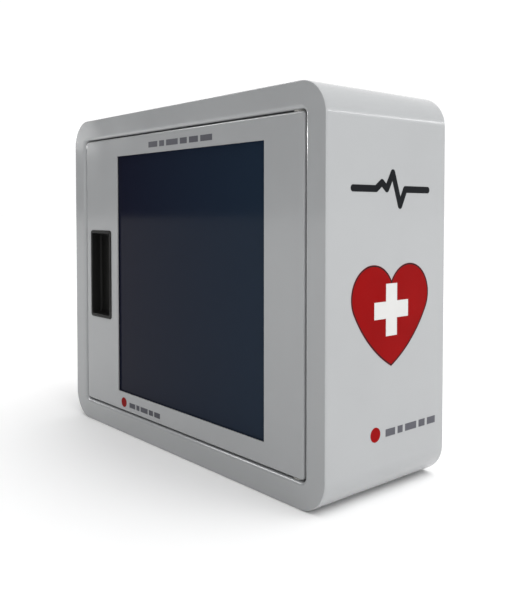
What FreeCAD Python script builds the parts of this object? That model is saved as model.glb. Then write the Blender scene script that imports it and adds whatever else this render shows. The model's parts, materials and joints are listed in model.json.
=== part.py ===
import FreeCAD, Part
import math
import os
import re
import Sketcher

# Wall cabinet for an automated external defibrillator, with its door shut.
# The origin is the centre of the back face, which lies on the wall.
# +X is to the right of a person facing the door, +Y points into the wall, +Z is up.

V = FreeCAD.Vector
doc = FreeCAD.newDocument("defibrillator_cabinet")

# ---------------------------------------------------------------- dimensions

DIMENSIONS = {
    # folded steel box
    "cabinet_width": 430, "cabinet_height": 360, "cabinet_depth": 160,
    "corner_radius": 30, "sheet": 1.5, "fit_gap": 0.1, "front_edge_radius": 0.8,
    "wall_hole_x": 150, "wall_hole_z": 120, "wall_hole_radius": 3.5,
    # door opening in the front frame
    "opening_width": 382, "opening_height": 313, "opening_radius": 5.5,
    "lip_radius": 4, "return_depth": 20,
    "stop_height": 18, "stop_side_width": 22.5, "stop_end": 160,
    "seal_inset": 1.7, "seal_width": 8, "seal_thickness": 2.6,
    # door pan
    "door_gap": 2, "door_end_gap": 1.4, "door_recess": 1, "door_depth": 16,
    "door_radius": 3.5, "door_edge_radius": 2,
    "window_x": 11.25, "window_width": 254.5, "window_height": 268,
    # hinge
    "hinge_inset": 11, "hinge_setback": 7.5, "pin_radius": 2.5,
    "bush_radius": 3.5, "bush_clearance": 0.05, "bush_flange": 6, "bush_flange_thickness": 1.1,
    "bush_length": 4.5, "bracket_plate": 3, "bracket_web": 2, "bracket_height": 23,
    "bracket_corner": 2.1,
    # pane and its retainers
    "gasket_thickness": 1, "gasket_setback": 1, "pane_overlap": 8, "pane_thickness": 3,
    "retainer_start": 2, "retainer_width": 13.5, "retainer_thickness": 2,
    "stud_offset": 12.5, "stud_radius": 1.5, "stud_length": 10,
    "nut_radius": 3.18, "nut_height": 2.4,
    # recessed pull
    "pull_x": -153.75, "pull_z": -2.35, "pull_width": 47.3, "pull_height": 103.3,
    "pull_rim": 3.65, "pull_flange": 1, "pull_wall": 1.6, "pull_floor": 3,
    "pull_body_depth": 14, "pull_fit": 0.2,
    "strap_width": 16, "strap_overhang": 5, "strap_screw_z": 30,
    # magnetic catch on the latch side
    "catch_front": 142.2, "catch_back": 128, "catch_height": 49,
    "catch_right": -169, "catch_neck": -180.5, "catch_ear_left": -191, "catch_ear_depth": 4,
    "magnet_x": -174.5, "magnet_width": 3.6, "pole_width": 1.2, "pole_height": 36,
    "pole_front": 142.7, "pole_back": 131, "catch_screw_x": -186, "catch_screw_z": 15,
    "strike_height": 40, "tab_right": -170,
    # door switch
    "switch_x": -176.5, "switch_z": 65, "switch_width": 15, "switch_height": 20,
    "switch_depth": 20, "plunger_radius": 2.5, "plunger_clearance": 0.06,
    "plunger_front": 142.9, "plunger_length": 21,
    # door alarm under the ceiling
    "alarm_x": -110, "alarm_y": -108, "alarm_width": 110, "alarm_depth": 46,
    "alarm_bottom": 148, "alarm_height": 24.5, "alarm_wall": 2, "alarm_base_height": 4,
    "alarm_radius": 4, "alarm_bracket_sheet": 2,
    "siren_x": -74, "siren_radius": 12, "rocker_x": -100, "rocker_z": 150.6,
    "rocker_length": 13.6, "rocker_width": 8.6, "rocker_drop": 4.2, "rocker_tilt": 6,
    # shelf for the defibrillator
    "shelf_width": 350, "shelf_front": 130, "shelf_back": 10, "shelf_top": -142.5,
    "shelf_foot": 14, "mat_inset": 6, "mat_thickness": 3,
    # printed vinyl
    "vinyl": 0.15,
    "emblem_y": -77.2, "heart_z": -19.5, "heart_width": 105, "heart_height": 90,
    "lobe_radius": 28, "flank_radius": 120, "cross_length": 46, "cross_width": 15,
    "pulse_z": 91, "pulse_width": 107, "pulse_height": 34.6, "pulse_stroke": 6,
    "side_label_y": -58.9, "side_label_z": -122, "title_x": 7.2, "title_z": 142.75,
    "door_label_x": -68.8, "door_label_z": -145.4,
}

dims = doc.addObject("Spreadsheet::Sheet", "Dims")
for row, (alias, number) in enumerate(DIMENSIONS.items(), 1):
    dims.set(f"A{row}", alias)
    dims.set(f"B{row}", str(number))
    dims.setAlias(f"B{row}", alias)
doc.recompute()


def full(expression):
    """The expression with every alias of the sheet written as Dims.alias."""
    return re.sub(r"[a-z_]+", lambda word: "Dims." + word.group()
                  if word.group() in DIMENSIONS else word.group(), str(expression))


def value(expression):
    return float(dims.evalExpression(full(expression)))


# Planes across the depth, front to back, as expressions.
FRONT = "(0 - cabinet_depth)"
DOOR_FACE = "(door_recess - cabinet_depth)"
DOOR_SKIN_BACK = "(door_recess - cabinet_depth + sheet)"
DOOR_BACK = "(door_recess - cabinet_depth + door_depth)"
RETURN_BACK = "(return_depth - cabinet_depth)"
STOP_BACK = "(return_depth - cabinet_depth + sheet)"
PANE_FRONT = "(door_recess - cabinet_depth + sheet + gasket_thickness)"
PANE_BACK = "(door_recess - cabinet_depth + sheet + gasket_thickness + pane_thickness)"
PULL_BACK = "(door_recess - cabinet_depth + pull_body_depth)"
ALARM_TOP = "(alarm_bottom + alarm_height)"

# Door and opening, from the centre line.
DOOR_X = "(opening_width / 2 - door_gap)"
DOOR_Z = "(opening_height / 2 - door_end_gap)"
HINGE_X = "(opening_width / 2 - door_gap - hinge_inset)"
HINGE_Y = "(door_recess - cabinet_depth + hinge_setback)"
FLOOR = "(0 - cabinet_height / 2 + sheet)"
CEILING = "(cabinet_height / 2 - sheet)"

# ---------------------------------------------------------------- building blocks

sub_parts = []


def sub_part(made, label):
    """Registers an object as one piece of the cabinet under its own label."""
    made.Label = label
    sub_parts.append(made)
    return made


def block(name, x, y, z):
    """Box between three (low, high) pairs of expressions."""
    box = doc.addObject("Part::Box", name)
    for size, axis, (low, high) in zip(("Length", "Width", "Height"), "xyz", (x, y, z)):
        box.setExpression(size, full(f"({high}) - ({low})"))
        box.setExpression(f"Placement.Base.{axis}", full(low))
    return box


ROD_TURN = {
    "X": FreeCAD.Rotation(V(0, 1, 0), 90),
    "Y": FreeCAD.Rotation(V(1, 0, 0), -90),
    "Z": FreeCAD.Rotation(),
}


def rod(name, axis, radius, start, length):
    """Cylinder from a start point, three expressions, along +X, +Y or +Z."""
    cylinder = doc.addObject("Part::Cylinder", name)
    cylinder.Placement = FreeCAD.Placement(V(), ROD_TURN[axis])
    cylinder.setExpression("Radius", full(radius))
    cylinder.setExpression("Height", full(length))
    for letter, place in zip("xyz", start):
        cylinder.setExpression(f"Placement.Base.{letter}", full(place))
    return cylinder


def join(name, *shapes):
    fuse = doc.addObject("Part::MultiFuse", name)
    fuse.Shapes = list(shapes)
    fuse.Refine = True
    return fuse


def group(name, shapes):
    """Separate solids of one kind, kept together as one piece."""
    compound = doc.addObject("Part::Compound", name)
    compound.Links = list(shapes)
    return compound


def cut(name, base, *tools):
    tool = tools[0] if len(tools) == 1 else join(name + "_tools", *tools)
    result = doc.addObject("Part::Cut", name)
    result.Base = base
    result.Tool = tool
    result.Refine = True
    return result


def soften(name, base, radius, chosen):
    """Rounds the edges of a solid that the chosen test picks."""
    doc.recompute()
    size = value(radius)
    fillet = doc.addObject("Part::Fillet", name)
    fillet.Base = base
    fillet.Edges = [(n, size, size) for n, edge in enumerate(base.Shape.Edges, 1) if chosen(edge)]
    return fillet


def screws(label, seats, axis, sign, head_radius, head_height, shank_radius, shank_length):
    """Pan-head screws: each seat is the point under the head, and the shank runs along sign axis."""
    letter = "XYZ".index(axis)
    made = []
    for n, seat in enumerate(seats, 1):
        head_start, shank_start = list(seat), list(seat)
        if sign > 0:
            head_start[letter] = f"{seat[letter]} - {head_height}"
        else:
            shank_start[letter] = f"{seat[letter]} - {shank_length}"
        head = rod(f"{label}_head_{n}", axis, head_radius, head_start, head_height)
        shank = rod(f"{label}_shank_{n}", axis, shank_radius, shank_start, shank_length)
        made.append(join(f"{label}_{n}", head, shank))
    return sub_part(group(label + "_set", made), label)


# ---------------------------------------------------------------- sketches and features


def new_body(label):
    return sub_part(doc.addObject("PartDesign::Body", label + "_body"), label)


def sketch_on(body, name, role, across, up, out):
    """Sketch on an origin plane of the body, with its origin moved by three expressions."""
    sketch = body.newObject("Sketcher::SketchObject", name)
    plane = next(o for o in body.Origin.OriginFeatures if o.Role == role)
    sketch.AttachmentSupport = [(plane, "")]
    sketch.MapMode = "FlatFace"
    for axis, shift in zip("xyz", (across, up, out)):
        sketch.setExpression(f"AttachmentOffset.Base.{axis}", full(shift))
    return sketch


def bind(sketch, constraint, name, expression):
    index = sketch.addConstraint(constraint)
    sketch.renameConstraint(index, name)
    sketch.setExpression(f"Constraints.{name}", full(expression))


def rectangle(sketch, width, height):
    """Rectangle centred on the sketch's origin."""
    across, up = value(width) / 2, value(height) / 2
    corners = [V(-across, -up), V(across, -up), V(across, up), V(-across, up)]
    first = sketch.GeometryCount
    for n in range(4):
        sketch.addGeometry(Part.LineSegment(corners[n], corners[(n + 1) % 4]))
    for n in range(4):
        sketch.addConstraint(Sketcher.Constraint("Coincident", first + n, 2, first + (n + 1) % 4, 1))
    for n in range(0, 4, 2):
        sketch.addConstraint(Sketcher.Constraint("Horizontal", first + n))
        sketch.addConstraint(Sketcher.Constraint("Vertical", first + n + 1))
    sketch.addConstraint(Sketcher.Constraint("Symmetric", first, 1, first + 2, 1, -1, 1))
    bind(sketch, Sketcher.Constraint("DistanceX", first, 1, first, 2, 2 * across),
         f"wide_{first}", width)
    bind(sketch, Sketcher.Constraint("DistanceY", first + 1, 1, first + 1, 2, 2 * up),
         f"tall_{first}", height)


def rounded_rectangle(sketch, width, height, radius):
    """Rectangle with rounded corners, centred on the sketch's origin."""
    across, up, r = value(width) / 2, value(height) / 2, value(radius)
    first = sketch.GeometryCount
    turns = [(1, -1), (1, 1), (-1, 1), (-1, -1)]
    for n, (sx, sy) in enumerate(turns):
        centre = V(sx * (across - r), sy * (up - r))
        start = math.radians(90 * n - 90)
        arc = Part.ArcOfCircle(Part.Circle(centre, V(0, 0, 1), r), start, start + math.pi / 2)
        before = turns[n - 1]
        side_start = V(before[0] * (across - r), before[1] * (up - r))
        outward = V(math.cos(start), math.sin(start)) * r
        sketch.addGeometry(Part.LineSegment(side_start + outward, centre + outward))
        sketch.addGeometry(arc)
    for n in range(8):
        following = (n + 1) % 8
        sketch.addConstraint(Sketcher.Constraint("Tangent", first + n, 2, first + following, 1))
    for n in range(0, 8, 4):
        sketch.addConstraint(Sketcher.Constraint("Horizontal", first + n))
        sketch.addConstraint(Sketcher.Constraint("Vertical", first + n + 2))
    for n in (3, 5, 7):
        sketch.addConstraint(Sketcher.Constraint("Equal", first + 1, first + n))
    sketch.addConstraint(Sketcher.Constraint("Symmetric", first, 1, first + 4, 1, -1, 1))
    bind(sketch, Sketcher.Constraint("Radius", first + 1, r), f"corner_{first}", radius)
    bind(sketch, Sketcher.Constraint("DistanceX", first + 6, 1, first + 2, 1, 2 * across),
         f"wide_{first}", width)
    bind(sketch, Sketcher.Constraint("DistanceY", first, 1, first + 4, 1, 2 * up),
         f"tall_{first}", height)


def circle(sketch, x, y, radius):
    """Circle whose centre is x, y from the sketch's origin; both are plain positive or zero."""
    index = sketch.addGeometry(Part.Circle(V(value(x), value(y)), V(0, 0, 1), value(radius)))
    bind(sketch, Sketcher.Constraint("Radius", index, value(radius)), f"round_{index}", radius)
    for kind, place in (("DistanceX", x), ("DistanceY", y)):
        bind(sketch, Sketcher.Constraint(kind, -1, 1, index, 3, value(place)),
             f"{kind.lower()}_{index}", place)


def pad(body, name, sketch, length):
    feature = body.newObject("PartDesign::Pad", name)
    feature.Profile = sketch
    feature.setExpression("Length", full(length))
    return feature


def pocket(body, name, sketch, length, reverse=False):
    """Cuts against the sketch's normal, or along it when reversed."""
    doc.recompute()
    before = body.Shape.Volume
    feature = body.newObject("PartDesign::Pocket", name)
    feature.Profile = sketch
    feature.Reversed = reverse
    feature.setExpression("Length", full(length))
    doc.recompute()
    if feature.Shape.Volume > before - 1e-6:
        raise RuntimeError(f"{name} cuts nothing")
    return feature


def round_edges(body, name, radius, chosen):
    doc.recompute()
    base = body.Tip
    names = [f"Edge{n}" for n, edge in enumerate(base.Shape.Edges, 1) if chosen(edge)]
    feature = body.newObject("PartDesign::Fillet", name)
    feature.Base = (base, names)
    feature.setExpression("Radius", full(radius))
    return feature


def near(a, b):
    return abs(a - b) < 1e-4


def rim_at(depth, inside=None, outside=None):
    """Test for edges in the plane y = depth, within or beyond a centred rectangle of half sizes."""
    y = value(depth)

    def chosen(edge):
        box = edge.BoundBox
        if not (near(box.YMin, y) and near(box.YMax, y)):
            return False
        limit = inside or outside
        middle = box.Center
        within = abs(middle.x) < limit[0] and abs(middle.z) < limit[1]
        return within if inside else not within
    return chosen


# ---------------------------------------------------------------- cabinet box


def make_cabinet_wrap():
    """One strip of sheet bent round all four sides, open at the front and back."""
    body = new_body("cabinet_wrap")
    outline = sketch_on(body, "wrap_section", "XZ_Plane", 0, 0, 0)
    rounded_rectangle(outline, "cabinet_width", "cabinet_height", "corner_radius")
    rounded_rectangle(outline, "cabinet_width - 2 * sheet", "cabinet_height - 2 * sheet",
                      "corner_radius - sheet")
    pad(body, "wrap_pad", outline, "cabinet_depth - sheet")


def make_back_panel():
    """Flat back, let into the wrap, with four holes for the wall screws."""
    body = new_body("back_panel")
    outline = sketch_on(body, "back_outline", "XZ_Plane", 0, 0, 0)
    rounded_rectangle(outline, "cabinet_width - 2 * sheet - 2 * fit_gap",
                      "cabinet_height - 2 * sheet - 2 * fit_gap", "corner_radius - sheet - fit_gap")
    pad(body, "back_pad", outline, "sheet")
    for n, (side, level) in enumerate([(-1, -1), (1, -1), (1, 1), (-1, 1)], 1):
        hole = sketch_on(body, f"wall_hole_{n}", "XZ_Plane",
                         f"{side} * wall_hole_x", f"{level} * wall_hole_z", "sheet")
        circle(hole, 0, 0, "wall_hole_radius")
        pocket(body, f"wall_hole_pocket_{n}", hole, "2 * sheet")


def make_front_frame():
    """Front plate lapped over the wrap, its opening folded back into a return wall."""
    body = new_body("front_frame")
    plate = sketch_on(body, "frame_outline", "XZ_Plane", 0, 0, "cabinet_depth - sheet")
    rounded_rectangle(plate, "cabinet_width", "cabinet_height", "corner_radius")
    rounded_rectangle(plate, "opening_width", "opening_height", "opening_radius")
    pad(body, "frame_plate", plate, "sheet")
    wall = sketch_on(body, "return_outline", "XZ_Plane", 0, 0, "cabinet_depth - return_depth")
    rounded_rectangle(wall, "opening_width + 2 * sheet", "opening_height + 2 * sheet",
                      "opening_radius + sheet")
    rounded_rectangle(wall, "opening_width", "opening_height", "opening_radius")
    pad(body, "return_wall", wall, "return_depth")
    half_x, half_z = value("opening_width") / 2, value("opening_height") / 2
    lip = (half_x + 0.5, half_z + 0.5)
    fold = (half_x + 2, half_z + 2)
    round_edges(body, "lip_bend", "lip_radius", rim_at(FRONT, inside=lip))
    round_edges(body, "lip_bend_inside", "lip_radius - sheet",
                rim_at("sheet - cabinet_depth", inside=fold))
    round_edges(body, "outer_edge", "front_edge_radius", rim_at(FRONT, outside=(half_x + 10, half_z + 10)))
    bushes = sketch_on(body, "bush_hole", "XY_Plane", HINGE_X, HINGE_Y, "cabinet_height / 2")
    circle(bushes, 0, 0, "bush_radius")
    pocket(body, "bush_holes", bushes, "cabinet_height")


def make_door_stops():
    """Strips welded behind the return wall: the door's seal lies on them."""
    high = "opening_height / 2 + sheet"
    low = "opening_height / 2 - stop_height"
    left, right = "0 - opening_width / 2 - sheet", "stop_end"
    depth = (RETURN_BACK, STOP_BACK)
    sub_part(block("stop_top", (left, right), depth, (low, high)), "door_stop_top")
    sub_part(block("stop_bottom", (left, right), depth, (f"0 - ({high})", f"0 - ({low})")),
             "door_stop_bottom")
    side = block("stop_side", (left, "stop_side_width - opening_width / 2"), depth,
                 (f"0 - ({low})", low))
    notch = block("catch_notch", ("catch_neck - 0.5", "stop_side_width - opening_width / 2"), depth,
                  ("0 - catch_height / 2 - 1", "catch_height / 2 + 1"))
    plunger_hole = rod("plunger_hole", "Y", "plunger_radius + 0.7",
                       ("switch_x", f"{RETURN_BACK} - 1", "switch_z"), "sheet + 2")
    threads = [rod(f"catch_thread_{n}", "Y", 1.5,
                   ("catch_screw_x", f"{RETURN_BACK} - 1", f"{level} * catch_screw_z"), "sheet + 2")
               for n, level in enumerate((-1, 1), 1)]
    sub_part(cut("stop_left", side, notch, plunger_hole, *threads), "door_stop_left")


def make_door_seal():
    """Foam strip on the three stops; the hinge side stays clear for the door's heel."""
    outer_x, outer_z = "opening_width / 2 - seal_inset", "opening_height / 2 - seal_inset"
    depth = (f"{RETURN_BACK} - seal_thickness", RETURN_BACK)
    full_strip = block("seal_blank", (f"0 - ({outer_x})", "stop_end"), depth,
                       (f"0 - ({outer_z})", outer_z))
    inside = block("seal_inside", (f"seal_width - ({outer_x})", "stop_end"), depth,
                   (f"seal_width - ({outer_z})", f"{outer_z} - seal_width"))
    sub_part(cut("seal", full_strip, inside), "door_seal")


# ---------------------------------------------------------------- door


def make_door_panel():
    """Folded door pan with a window and a cut-out for the recessed pull."""
    body = new_body("door_panel")
    outline = sketch_on(body, "door_outline", "XZ_Plane", 0, 0, f"0 - {DOOR_BACK}")
    rounded_rectangle(outline, f"2 * {DOOR_X}", f"2 * {DOOR_Z}", "door_radius")
    pad(body, "door_blank", outline, "door_depth")
    everywhere = (value("cabinet_width"), value("cabinet_height"))
    round_edges(body, "door_edge", "door_edge_radius", rim_at(DOOR_FACE, inside=everywhere))
    hollow = sketch_on(body, "door_hollow", "XZ_Plane", 0, 0, f"0 - {DOOR_BACK}")
    rounded_rectangle(hollow, f"2 * {DOOR_X} - 2 * sheet", f"2 * {DOOR_Z} - 2 * sheet",
                      "door_radius - sheet")
    pocket(body, "door_pan", hollow, "door_depth - sheet", reverse=True)
    window = sketch_on(body, "window_outline", "XZ_Plane", "window_x", 0, f"0 - {DOOR_FACE}")
    rectangle(window, "window_width", "window_height")
    pocket(body, "window_cut", window, "2 * sheet")
    pull = sketch_on(body, "pull_outline", "XZ_Plane", "pull_x", "pull_z", f"0 - {DOOR_FACE}")
    rounded_rectangle(pull, "pull_width - 2 * pull_rim + 2 * pull_wall + 2 * pull_fit",
                      "pull_height - 2 * pull_rim + 2 * pull_wall + 2 * pull_fit", "pull_wall + 1")
    pocket(body, "pull_cut", pull, "2 * sheet")
    pins = sketch_on(body, "pin_hole", "XY_Plane", HINGE_X, HINGE_Y, "cabinet_height / 2")
    circle(pins, 0, 0, "pin_radius + 0.1")
    pocket(body, "pin_holes", pins, "cabinet_height")


def make_window():
    """Smoked pane on a thin gasket, held by four flat bars on welded studs."""
    gasket = new_body("window_gasket")
    ring = sketch_on(gasket, "gasket_outline", "XZ_Plane", "window_x", 0, f"0 - {PANE_FRONT}")
    rectangle(ring, "window_width + 2 * pane_overlap", "window_height + 2 * pane_overlap")
    rectangle(ring, "window_width + 2 * gasket_setback", "window_height + 2 * gasket_setback")
    pad(gasket, "gasket_pad", ring, "gasket_thickness")

    pane = new_body("window_pane")
    sheet = sketch_on(pane, "pane_outline", "XZ_Plane", "window_x", 0, f"0 - {PANE_BACK}")
    rectangle(sheet, "window_width + 2 * pane_overlap", "window_height + 2 * pane_overlap")
    pad(pane, "pane_pad", sheet, "pane_thickness")

    half_x, half_z = "window_width / 2", "window_height / 2"
    depth = (PANE_BACK, f"{PANE_BACK} + retainer_thickness")
    start, end = "retainer_start", "(retainer_start + retainer_width)"
    places = {
        "left": ((f"window_x - {half_x} - {end}", f"window_x - {half_x} - {start}"),
                 (f"0 - {half_z} - {end}", f"{half_z} + {end}")),
        "right": ((f"window_x + {half_x} + {start}", f"window_x + {half_x} + {end}"),
                  (f"0 - {half_z} - {end}", f"{half_z} + {end}")),
        "top": ((f"window_x - {half_x}", f"window_x + {half_x}"),
                (f"{half_z} + {start}", f"{half_z} + {end}")),
        "bottom": ((f"window_x - {half_x}", f"window_x + {half_x}"),
                   (f"0 - {half_z} - {end}", f"0 - {half_z} - {start}")),
    }
    along_side = ["0 - 0.43 * window_height", "0", "0.43 * window_height"]
    along_top = ["window_x - 0.4 * window_width", "window_x", "window_x + 0.4 * window_width"]
    stud_places = {
        "left": [(f"window_x - {half_x} - stud_offset", z) for z in along_side],
        "right": [(f"window_x + {half_x} + stud_offset", z) for z in along_side],
        "top": [(x, f"{half_z} + stud_offset") for x in along_top],
        "bottom": [(x, f"0 - {half_z} - stud_offset") for x in along_top],
    }
    studs, nuts = [], []
    for side, (across, up) in places.items():
        bar = block(f"retainer_{side}", across, depth, up)
        holes = []
        for n, (x, z) in enumerate(stud_places[side], 1):
            holes.append(rod(f"stud_hole_{side}_{n}", "Y", "stud_radius + 0.2",
                             (x, PANE_BACK, z), "retainer_thickness"))
            studs.append(rod(f"stud_{side}_{n}", "Y", "stud_radius",
                             (x, DOOR_SKIN_BACK, z), "stud_length"))
            nuts.append(make_nut(f"{side}_{n}", x, depth[1], z))
        sub_part(cut(f"retainer_{side}_drilled", bar, *holes), f"pane_retainer_{side}")
    sub_part(group("stud_set", studs), "pane_studs")
    sub_part(group("nut_set", nuts), "pane_nuts")


def make_nut(name, x, y, z):
    """Hexagon nut on a stud, its axis along Y."""
    prism = doc.addObject("Part::Prism", f"hexagon_{name}")
    prism.Polygon = 6
    prism.Placement = FreeCAD.Placement(V(), ROD_TURN["Y"])
    prism.setExpression("Circumradius", full("nut_radius"))
    prism.setExpression("Height", full("nut_height"))
    for letter, place in zip("xyz", (x, y, z)):
        prism.setExpression(f"Placement.Base.{letter}", full(place))
    return cut(f"nut_{name}", prism, rod(f"thread_{name}", "Y", "stud_radius", (x, y, z), "nut_height"))


def make_recessed_pull():
    """Moulded finger cup, clamped from behind by a bent strap and two screws."""
    cup = new_body("handle_cup")
    opening = ("pull_width - 2 * pull_rim", "pull_height - 2 * pull_rim")
    outer = [f"{size} + 2 * pull_wall" for size in opening]
    box = sketch_on(cup, "cup_outline", "XZ_Plane", "pull_x", "pull_z", f"0 - {PULL_BACK}")
    rounded_rectangle(box, *outer, "pull_wall + 1")
    pad(cup, "cup_block", box, "pull_body_depth")
    flange = sketch_on(cup, "flange_outline", "XZ_Plane", "pull_x", "pull_z", f"0 - {DOOR_FACE}")
    rounded_rectangle(flange, "pull_width", "pull_height", "pull_rim")
    pad(cup, "cup_flange", flange, "pull_flange")
    hollow = sketch_on(cup, "cup_hollow", "XZ_Plane", "pull_x", "pull_z",
                       f"pull_flange - {DOOR_FACE}")
    rounded_rectangle(hollow, *opening, "1.5")
    pocket(cup, "finger_space", hollow, "pull_flange + pull_body_depth - pull_floor")
    front = f"{DOOR_FACE} - pull_flange"
    all_round = (value("cabinet_width"), value("cabinet_height"))
    round_edges(cup, "flange_edges", "0.4 * pull_flange", rim_at(front, inside=all_round))
    for n, level in enumerate((-1, 1), 1):
        hole = sketch_on(cup, f"cup_thread_{n}", "XZ_Plane", "pull_x",
                         f"pull_z + {level} * strap_screw_z", f"0 - {PULL_BACK}")
        circle(hole, 0, 0, 1.5)
        pocket(cup, f"cup_thread_pocket_{n}", hole, "pull_floor - 0.5", reverse=True)

    across = ("pull_x - strap_width / 2", "pull_x + strap_width / 2")
    reach = "(pull_height / 2 + strap_overhang)"
    shell = block("strap_outer", across, (DOOR_SKIN_BACK, f"{PULL_BACK} + sheet"),
                  (f"pull_z - {reach}", f"pull_z + {reach}"))
    inside = block("strap_inner", across, (DOOR_SKIN_BACK, PULL_BACK),
                   (f"pull_z - {reach} + sheet", f"pull_z + {reach} - sheet"))
    holes = [rod(f"strap_hole_{n}", "Y", 1.6,
                 ("pull_x", PULL_BACK, f"pull_z + {level} * strap_screw_z"), "sheet")
             for n, level in enumerate((-1, 1), 1)]
    sub_part(cut("strap", shell, inside, *holes), "handle_clamp")
    seats = [("pull_x", f"{PULL_BACK} + sheet", f"pull_z + {level} * strap_screw_z")
             for level in (-1, 1)]
    screws("handle_screws", seats, "Y", -1, 2.8, 1.5, 1.5, 3.8)


def make_hinge():
    """Two pins on the door turn in nylon bushes in the frame; the upper one is sprung."""
    shift = {"upper": 1, "lower": -1}
    for end, sign in shift.items():
        wall = f"{sign} * opening_height / 2"
        low_flange = wall if sign < 0 else f"{wall} - bush_flange_thickness"
        low_sleeve = wall if sign > 0 else f"{wall} - bush_length"
        flange = rod(f"bush_flange_{end}", "Z", "bush_flange", (HINGE_X, HINGE_Y, low_flange),
                     "bush_flange_thickness")
        sleeve = rod(f"bush_sleeve_{end}", "Z", "bush_radius", (HINGE_X, HINGE_Y, low_sleeve),
                     "bush_length")
        bore = rod(f"bush_bore_{end}", "Z", "pin_radius + bush_clearance",
                   (HINGE_X, HINGE_Y, f"{wall} - 2 * bush_length"), "4 * bush_length")
        sub_part(cut(f"bush_{end}", join(f"bush_blank_{end}", flange, sleeve), bore),
                 f"hinge_bush_{end}")

    plate_top = f"({DOOR_Z} - sheet - bracket_corner)"
    inner_x = f"{DOOR_X} - sheet"
    depth = (f"{DOOR_SKIN_BACK} + 1.5", f"{DOOR_BACK} - 2.5")
    plate_x = (f"{HINGE_X} - 12", inner_x)
    upper_plate = block("bracket_plate_upper", plate_x, depth, (f"{plate_top} - bracket_plate", plate_top))
    upper_web = block("bracket_web_upper", (f"{inner_x} - bracket_web", inner_x), depth,
                      (f"{plate_top} - bracket_height", plate_top))
    guide = block("bracket_guide", (f"{HINGE_X} - 8", inner_x), depth,
                  (f"{plate_top} - bracket_height", f"{plate_top} - bracket_height + bracket_web"))
    bore = rod("bracket_bore_upper", "Z", "pin_radius",
               (HINGE_X, HINGE_Y, f"{plate_top} - bracket_height - 1"), "bracket_height + 2")
    sub_part(cut("bracket_upper", join("bracket_blank_upper", upper_plate, upper_web, guide), bore),
             "hinge_bracket_upper")

    lower_plate = block("bracket_plate_lower", plate_x, depth,
                        (f"0 - {plate_top}", f"bracket_plate - {plate_top}"))
    lower_web = block("bracket_web_lower", (f"{inner_x} - bracket_web", inner_x), depth,
                      (f"0 - {plate_top}", f"bracket_height - {plate_top}"))
    bore = rod("bracket_bore_lower", "Z", "pin_radius", (HINGE_X, HINGE_Y, f"0 - {plate_top} - 1"),
               "bracket_plate + 2")
    sub_part(cut("bracket_lower", join("bracket_blank_lower", lower_plate, lower_web), bore),
             "hinge_bracket_lower")

    tip = "(opening_height / 2 + bush_length - 0.5)"
    collar_low = f"({plate_top} - bracket_plate - 2)"
    shaft_low = f"({plate_top} - bracket_height - 2)"
    shaft = rod("pin_shaft_upper", "Z", "pin_radius", (HINGE_X, HINGE_Y, shaft_low), f"{tip} - {shaft_low}")
    collar = rod("pin_collar", "Z", "pin_radius + 2", (HINGE_X, HINGE_Y, collar_low), 2)
    sub_part(join("pin_upper", shaft, collar), "hinge_pin_upper")
    head_low = f"(bracket_plate - {plate_top})"
    shaft = rod("pin_shaft_lower", "Z", "pin_radius", (HINGE_X, HINGE_Y, f"0 - {tip}"),
                f"{tip} + {head_low}")
    head = rod("pin_head", "Z", "pin_radius + 2", (HINGE_X, HINGE_Y, head_low), 1.5)
    sub_part(join("pin_lower", shaft, head), "hinge_pin_lower")

    spring_low = f"({plate_top} - bracket_height + bracket_web + 0.2)"
    coil = rod("spring_outside", "Z", "pin_radius + 1.7", (HINGE_X, HINGE_Y, spring_low),
               f"{collar_low} - 0.2 - {spring_low}")
    core = rod("spring_inside", "Z", "pin_radius + 0.4", (HINGE_X, HINGE_Y, f"{spring_low} - 1"),
               f"{collar_low} + 2 - {spring_low}")
    sub_part(cut("pin_spring", coil, core), "hinge_pin_spring")


def angle_on_door(name, label, z, height):
    """Bent steel angle welded to the door's latch wall, its rear leg flush with the door's back."""
    wall_x = f"sheet - {DOOR_X}"
    levels = (f"{z} - ({height}) / 2", f"{z} + ({height}) / 2")
    leg = block(f"{name}_leg", (wall_x, f"{wall_x} + sheet"), (f"{DOOR_SKIN_BACK} + 2", DOOR_BACK), levels)
    face = block(f"{name}_face", (wall_x, "tab_right"), (f"{DOOR_BACK} - sheet", DOOR_BACK), levels)
    sub_part(join(name, leg, face), label)


# ---------------------------------------------------------------- catch and door switch


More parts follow.
